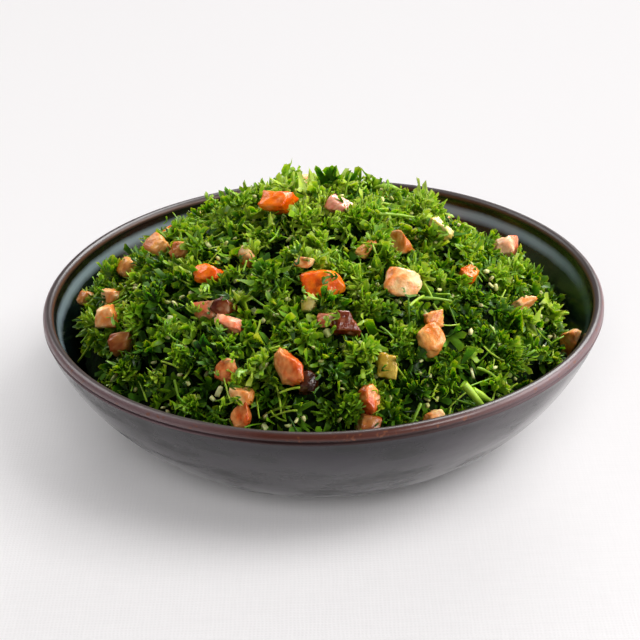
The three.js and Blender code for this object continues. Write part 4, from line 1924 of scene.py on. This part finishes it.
@dataclass(frozen=True)
class WetFlesh:
    """Cut tomato, onion or soaked grain: the piece's own colour, soft inside and wet outside."""

    name: str
    roughness: float
    grain: float  # the size of its mottling and relief, in millimetres
    soft: float
    depth: float  # how high the relief is
    shine: float = 0.5
    light_paths: Size = (1.0, 0.45, 0.2)  # how far red, green and blue go in, in its scale
    scale: float = 1.2

    def make(self) -> Material:
        """Builds the finish from the mesh's tint.

        Returns:
            The material.
        """
        bench = NodeBench(self.name)
        mottle = bench.spread(bench.noise(self.grain, 3), 0.3, 0.7, 0.86, 1.12)
        colour = bench.toned(bench.attribute("tint", "Color"), mottle)
        relief = bench.bump(bench.noise(self.grain, 3), self.depth, 0.7)
        return bench.dress(
            Base_Color=colour, Roughness=self.roughness, Normal=relief,
            Specular_IOR_Level=self.shine, Subsurface_Weight=self.soft,
            Subsurface_Radius=self.light_paths, Subsurface_Scale=self.scale * MM)


@dataclass(frozen=True)
class CoreSkin:
    """The packed green between the pieces, made dark as painted shade of the gaps."""

    dark: Colour = (6, 14, 3)
    light: Colour = (26, 50, 9)

    def make(self) -> Material:
        """Mottles the two greens at the scale of fine chopping.

        Returns:
            The material.
        """
        bench = NodeBench("packed_herb")
        colour = bench.ramp(bench.noise(2.0, 4, 0.7), ((0.35, self.dark), (0.7, self.light)))
        relief = bench.bump(bench.noise(1.1, 4, 0.7), 0.8)
        return bench.dress(Base_Color=colour, Roughness=0.9, Specular_IOR_Level=0.1, Normal=relief)


# ---- Studio ----


@dataclass(frozen=True)
class Eye:
    """The camera. Pixels are those of a 640 x 640 picture."""

    focal_pixels: float = 1639.7
    picture: float = 640.0
    sensor: float = 36.0
    distance: float = 620.0
    elevation: float = 26.937
    pivot_height: float = 56.0
    aim: Size = (-1.40, 0.0, 43.88)  # the point that it looks at
    roll: float = -1.787
    seen_from: float = 0.05  # nothing nearer is drawn, in metres
    seen_to: float = 30.0

    @property
    def place(self) -> Array:
        """Where the camera stands.

        Returns:
            The point, in millimetres.
        """
        lift = np.radians(self.elevation)
        pivot = np.array([0, 0, self.pivot_height])
        return pivot + self.distance * np.array([0, -np.cos(lift), np.sin(lift)])

    @property
    def forward(self) -> Array:
        """The viewing direction."""
        return unit(np.array(self.aim) - self.place)

    @property
    def right(self) -> Array:
        """The picture's rightward direction, with the roll.

        Returns:
            A unit direction.
        """
        level = unit(np.cross(self.forward, [0, 0, 1]))
        tip = np.radians(self.roll)
        return level * np.cos(tip) + np.cross(level, self.forward) * np.sin(tip)

    @property
    def up(self) -> Array:
        """The picture's upward direction."""
        return np.cross(self.right, self.forward)

    def sight(self, pixel: Span) -> Array:
        """The direction in which a pixel looks."""
        across, down = np.array(pixel) - self.picture / 2
        return unit(self.forward * self.focal_pixels + self.right * across - self.up * down)

    def build(self) -> None:
        """Makes the camera and lets the scene use it."""
        lens = bpy.data.cameras.new("camera")
        lens.sensor_width = self.sensor
        lens.lens = self.sensor * self.focal_pixels / self.picture
        lens.clip_start, lens.clip_end = self.seen_from, self.seen_to
        camera = bpy.data.objects.new("camera", lens)
        turn = Matrix([[*row] for row in np.stack([self.right, self.up, -self.forward], axis=1)])
        camera.matrix_world = Matrix.Translation(Vector(self.place * MM)) @ turn.to_4x4()
        bpy.context.scene.collection.objects.link(camera)
        bpy.context.scene.camera = camera


class Lit(Enum):
    """What a lamp shines on."""

    DISH = "EXCLUDE"  # the bowl and the salad
    CLOTH = "INCLUDE"  # the floor alone


@dataclass(frozen=True)
class Lamp:
    """A soft rectangular light, placed by azimuth from +X, elevation and distance in metres."""

    name: str
    lit: Lit
    azimuth: float
    elevation: float
    distance: float
    size: Span
    power: float
    aim_height: float = 0.05

    def build(self, floor: Thing) -> None:
        """Makes the light, points it at the bowl and links it to what it shines on.

        Args:
            floor: what a CLOTH lamp lights alone and a DISH lamp leaves dark.
        """
        turn, lift = np.radians(self.azimuth), np.radians(self.elevation)
        away = Vector((np.cos(turn) * np.cos(lift), np.sin(turn) * np.cos(lift), np.sin(lift)))
        light = bpy.data.lights.new(self.name, "AREA")
        light.shape = "RECTANGLE"
        light.size, light.size_y = self.size
        light.energy = self.power
        lamp = bpy.data.objects.new(self.name, light)
        lamp.location = away * self.distance + Vector((0, 0, self.aim_height))
        lamp.rotation_mode = "QUATERNION"
        lamp.rotation_quaternion = away.to_track_quat("Z", "Y")
        bpy.context.scene.collection.objects.link(lamp)
        receivers = bpy.data.collections.new(f"{self.name}_lights")
        receivers.objects.link(floor)
        receivers.collection_objects[0].light_linking.link_state = self.lit.value
        lamp.light_linking.receiver_collection = receivers


@dataclass(frozen=True)
class Studio:
    """A pale linen floor under even light, and a soft key from behind and the right on the dish."""

    half_floor: float = 4500.0
    floor_drop: float = 0.15
    cloth: Colour = (244, 241, 241)
    thread: float = 1.3
    wave_scale: float = 0.314  # the scale that gives one thread a metre
    slub: float = 14.0  # how much longer than wide the thick runs in the thread are
    slub_size: float = 16.0
    slub_tone: float = 0.02
    blurred: float = 160.0  # how far behind the middle the weave can no longer be told
    fill: float = 0.16
    sky: tuple[float, float, float, float] = (0.97, 0.985, 1.0, 1.0)  # linear values
    lamps: tuple[Lamp, ...] = (
        Lamp("key", Lit.DISH, 55, 46, 2.0, (1.2, 1.2), 56.5),
        Lamp("right", Lit.DISH, 0, 30, 2.0, (1.2, 1.2), 28),
        Lamp("front_right", Lit.DISH, 318, 27, 2.0, (0.55, 0.55), 16),
        Lamp("back_left", Lit.DISH, 145, 42, 2.0, (1.2, 1.2), 18),
        Lamp("cloth_front", Lit.CLOTH, 270, 36, 9.0, (5.0, 4.0), 488),
        Lamp("cloth_right", Lit.CLOTH, 335, 50, 9.0, (5.0, 4.0), 342),
        Lamp("cloth_top", Lit.CLOTH, 300, 66, 9.0, (5.0, 4.0), 190),
        Lamp("cloth_back", Lit.CLOTH, 74, 22, 9.0, (5.0, 3.0), 266),
    )

    def floor_finish(self) -> Material:
        """Pale linen with a faint weave: the product of waves along X and Y, and slubs both ways.

        Returns:
            The material.
        """
        bench = NodeBench("pale_linen")
        waves = [bench.add("ShaderNodeTexWave", {
            "Vector": bench.place, "Scale": self.wave_scale / (self.thread * MM), "Distortion": 3.0,
            "Detail": 2.0, "Detail Scale": 0.5}, bands_direction=axis).outputs["Fac"]
            for axis in ("X", "Y")]
        near = bench.between(bench.axis("Y"), (self.blurred, -self.blurred))
        weave = bench.product(*waves, near)
        tone = bench.spread(weave, 0, 1, 0.985, 0.955)
        for stretch in ((self.slub, 1.0, 1.0), (1.0, self.slub, 1.0)):
            streak = bench.spread(bench.noise(self.slub_size, 3, 0.6, stretch), 0.35, 0.65)
            tone = bench.math("MULTIPLY_ADD", bench.product(streak, near), self.slub_tone, tone)
        return bench.dress(Base_Color=bench.toned(self.cloth, tone), Roughness=0.9,
                           Specular_IOR_Level=0.15, Normal=bench.bump(weave, 0.1, 0.4))

    def build(self) -> None:
        """Lays the floor, hangs the lights and sets the fill."""
        corners = np.array([(-1, -1, 0), (1, -1, 0), (1, 1, 0), (-1, 1, 0)]) * self.half_floor
        corners = corners - [0, 0, self.floor_drop]
        floor = put_mesh("floor", corners, np.array([[0, 1, 2, 3]]))
        floor.data.materials.append(self.floor_finish())
        for lamp in self.lamps:
            lamp.build(floor)
        world = bpy.data.worlds.new("world")
        bpy.context.scene.world = world
        world.use_nodes = True
        background = world.node_tree.nodes["Background"]
        background.inputs["Color"].default_value = self.sky
        background.inputs["Strength"].default_value = self.fill
        bpy.context.scene.view_settings.view_transform = "Standard"


# ---- The salad ----


@dataclass(frozen=True)
class Salad:
    """Everything in the bowl, kind by kind."""

    mound: Mound
    frills: tuple[Frill, ...] = (
        Frill("parsley_leaves", 1000, (6.0, 9.5), (120, 220), 4, 1,
              Lay(Lie.EVEN, (-5.5, -2.2), 0.55, (0.35, 0.5), 0.985), light=0.72),
        Frill("parsley_sprigs", 1950, (4.6, 7.6), (100, 190), 4, 2, Lay(Lie.GATHERED, (-1.8, 0.2))),
        Frill("parsley_fronds", 2700, (3.6, 6.0), (70, 150), 3, 4, Lay(Lie.GATHERED, (-1.2, 0.8)),
              light=1.04),
        Frill("parsley_blades", 230, (6.0, 9.5), (60, 110), 3, 5, Lay(Lie.GATHERED, (0.2, 2.4)),
              notch=(0.62, 0.8), light=1.12),
        Frill("parsley_bits", 3600, (2.6, 4.8), (55, 130), 2, 3, Lay(Lie.GATHERED, (-0.8, 1.4)),
              light=1.1),
        Frill("parsley_flecks", 250, (2.8, 5.4), (60, 130), 3, 6,
              Lay(Lie.LEANING, (1.6, 5.2), tilt=(0.3, 0.4))),
    )
    strands: tuple[Strand, ...] = (
        Strand("parsley_shreds", 3400, (2.6, 6.6), (0.7, 1.5), (0.25, 0.4), 4, 4, 1,
               Lay(Lie.GATHERED, (0.6, 4.2)), ragged=0.12, twist=(-2.2, 2.2), curl=(-1.6, 2.4),
               light=1.08),
        Strand("stalks_thin", 460, (5.0, 12.0), (0.5, 0.9), (0.45, 0.8), 5, 6, 2,
               Lay(Lie.EVEN, (-1.2, 1.8), 0.5, (0.05, 0.3)), taper=0.15, curl=(-0.5, 0.9),
               light=1.55),
    )
    stalks: Stalks = Stalks()
    dice: Dice = Dice()
    grains: tuple[Grains, ...] = (
        Grains("bulgur_grains", 420, (1.4, 2.5), (0.9, 1.5), 0.8,
               (222, 220, 150), (164, 172, 84), 1),
        Grains("onion_bits", 26, (2.2, 3.8), (1.6, 2.6), 0.5,
               (214, 214, 156), (176, 186, 104), 2, cells=3, roundness=(0.2, 0.45)),
    )

    def build(self, eye: Eye) -> None:
        """Makes the core and each kind of piece, with their finishes and slots.

        Args:
            eye: the camera, for the pieces that are placed where it sees them.
        """
        leaf = LeafSkin().make()
        stalk = LeafSkin("parsley_stalk", roughness=(0.25, 0.45), vein=0.08).make()
        under = LeafSkin("parsley_under", roughness=(0.55, 0.75), shine=0.12).make()
        put_piece(self.mound.build(), CoreSkin().make(), "salad")
        spots = self.dice.spots(self.mound, eye)
        tufts = Tufts(self.mound, self.dice.hollows(spots), self.dice.outlines(spots))
        for frill in self.frills:
            finish = under if frill.lay.lie is Lie.EVEN else leaf
            self.place(frill.name, frill.make(tufts), finish, "parsley")
        for strand, finish, slot in zip(self.strands, (leaf, stalk), ("parsley", "stalk")):
            self.place(strand.name, strand.make(tufts), finish, slot)
        self.place("stalks_cut", self.stalks.make(tufts, eye), stalk, "stalk")
        flesh = WetFlesh("tomato_flesh", roughness=0.2, grain=1.8, soft=0.3, depth=0.5,
                         shine=0.42).make()
        self.place("tomato_dice", self.dice.make(self.mound, spots, eye), flesh, "tomato")
        grain = WetFlesh("bulgur_grain", roughness=0.42, grain=0.9, soft=0.25, depth=0.15).make()
        for kind in self.grains:
            self.place(kind.name, kind.make(tufts), grain, "bulgur")

    def place(self, name: str, batch: Batch, finish: Material, slot: str) -> None:
        """Puts one kind into the scene as one joined mesh."""
        points, faces, tint, rim = batch.joined()
        put_piece(put_mesh(name, points, faces, tint, rim), finish, "salad")


def main() -> None:
    """Builds the studio, the bowl and the salad."""
    logging.basicConfig(level=logging.INFO, format="%(name)s %(message)s")
    eye = Eye()
    eye.build()
    Studio().build()
    bowl = Bowl()
    put_piece(bowl.build(), Glaze().make(), "bowl")
    Salad(Mound(bowl)).build(eye)


if __name__ == "__main__":
    main()
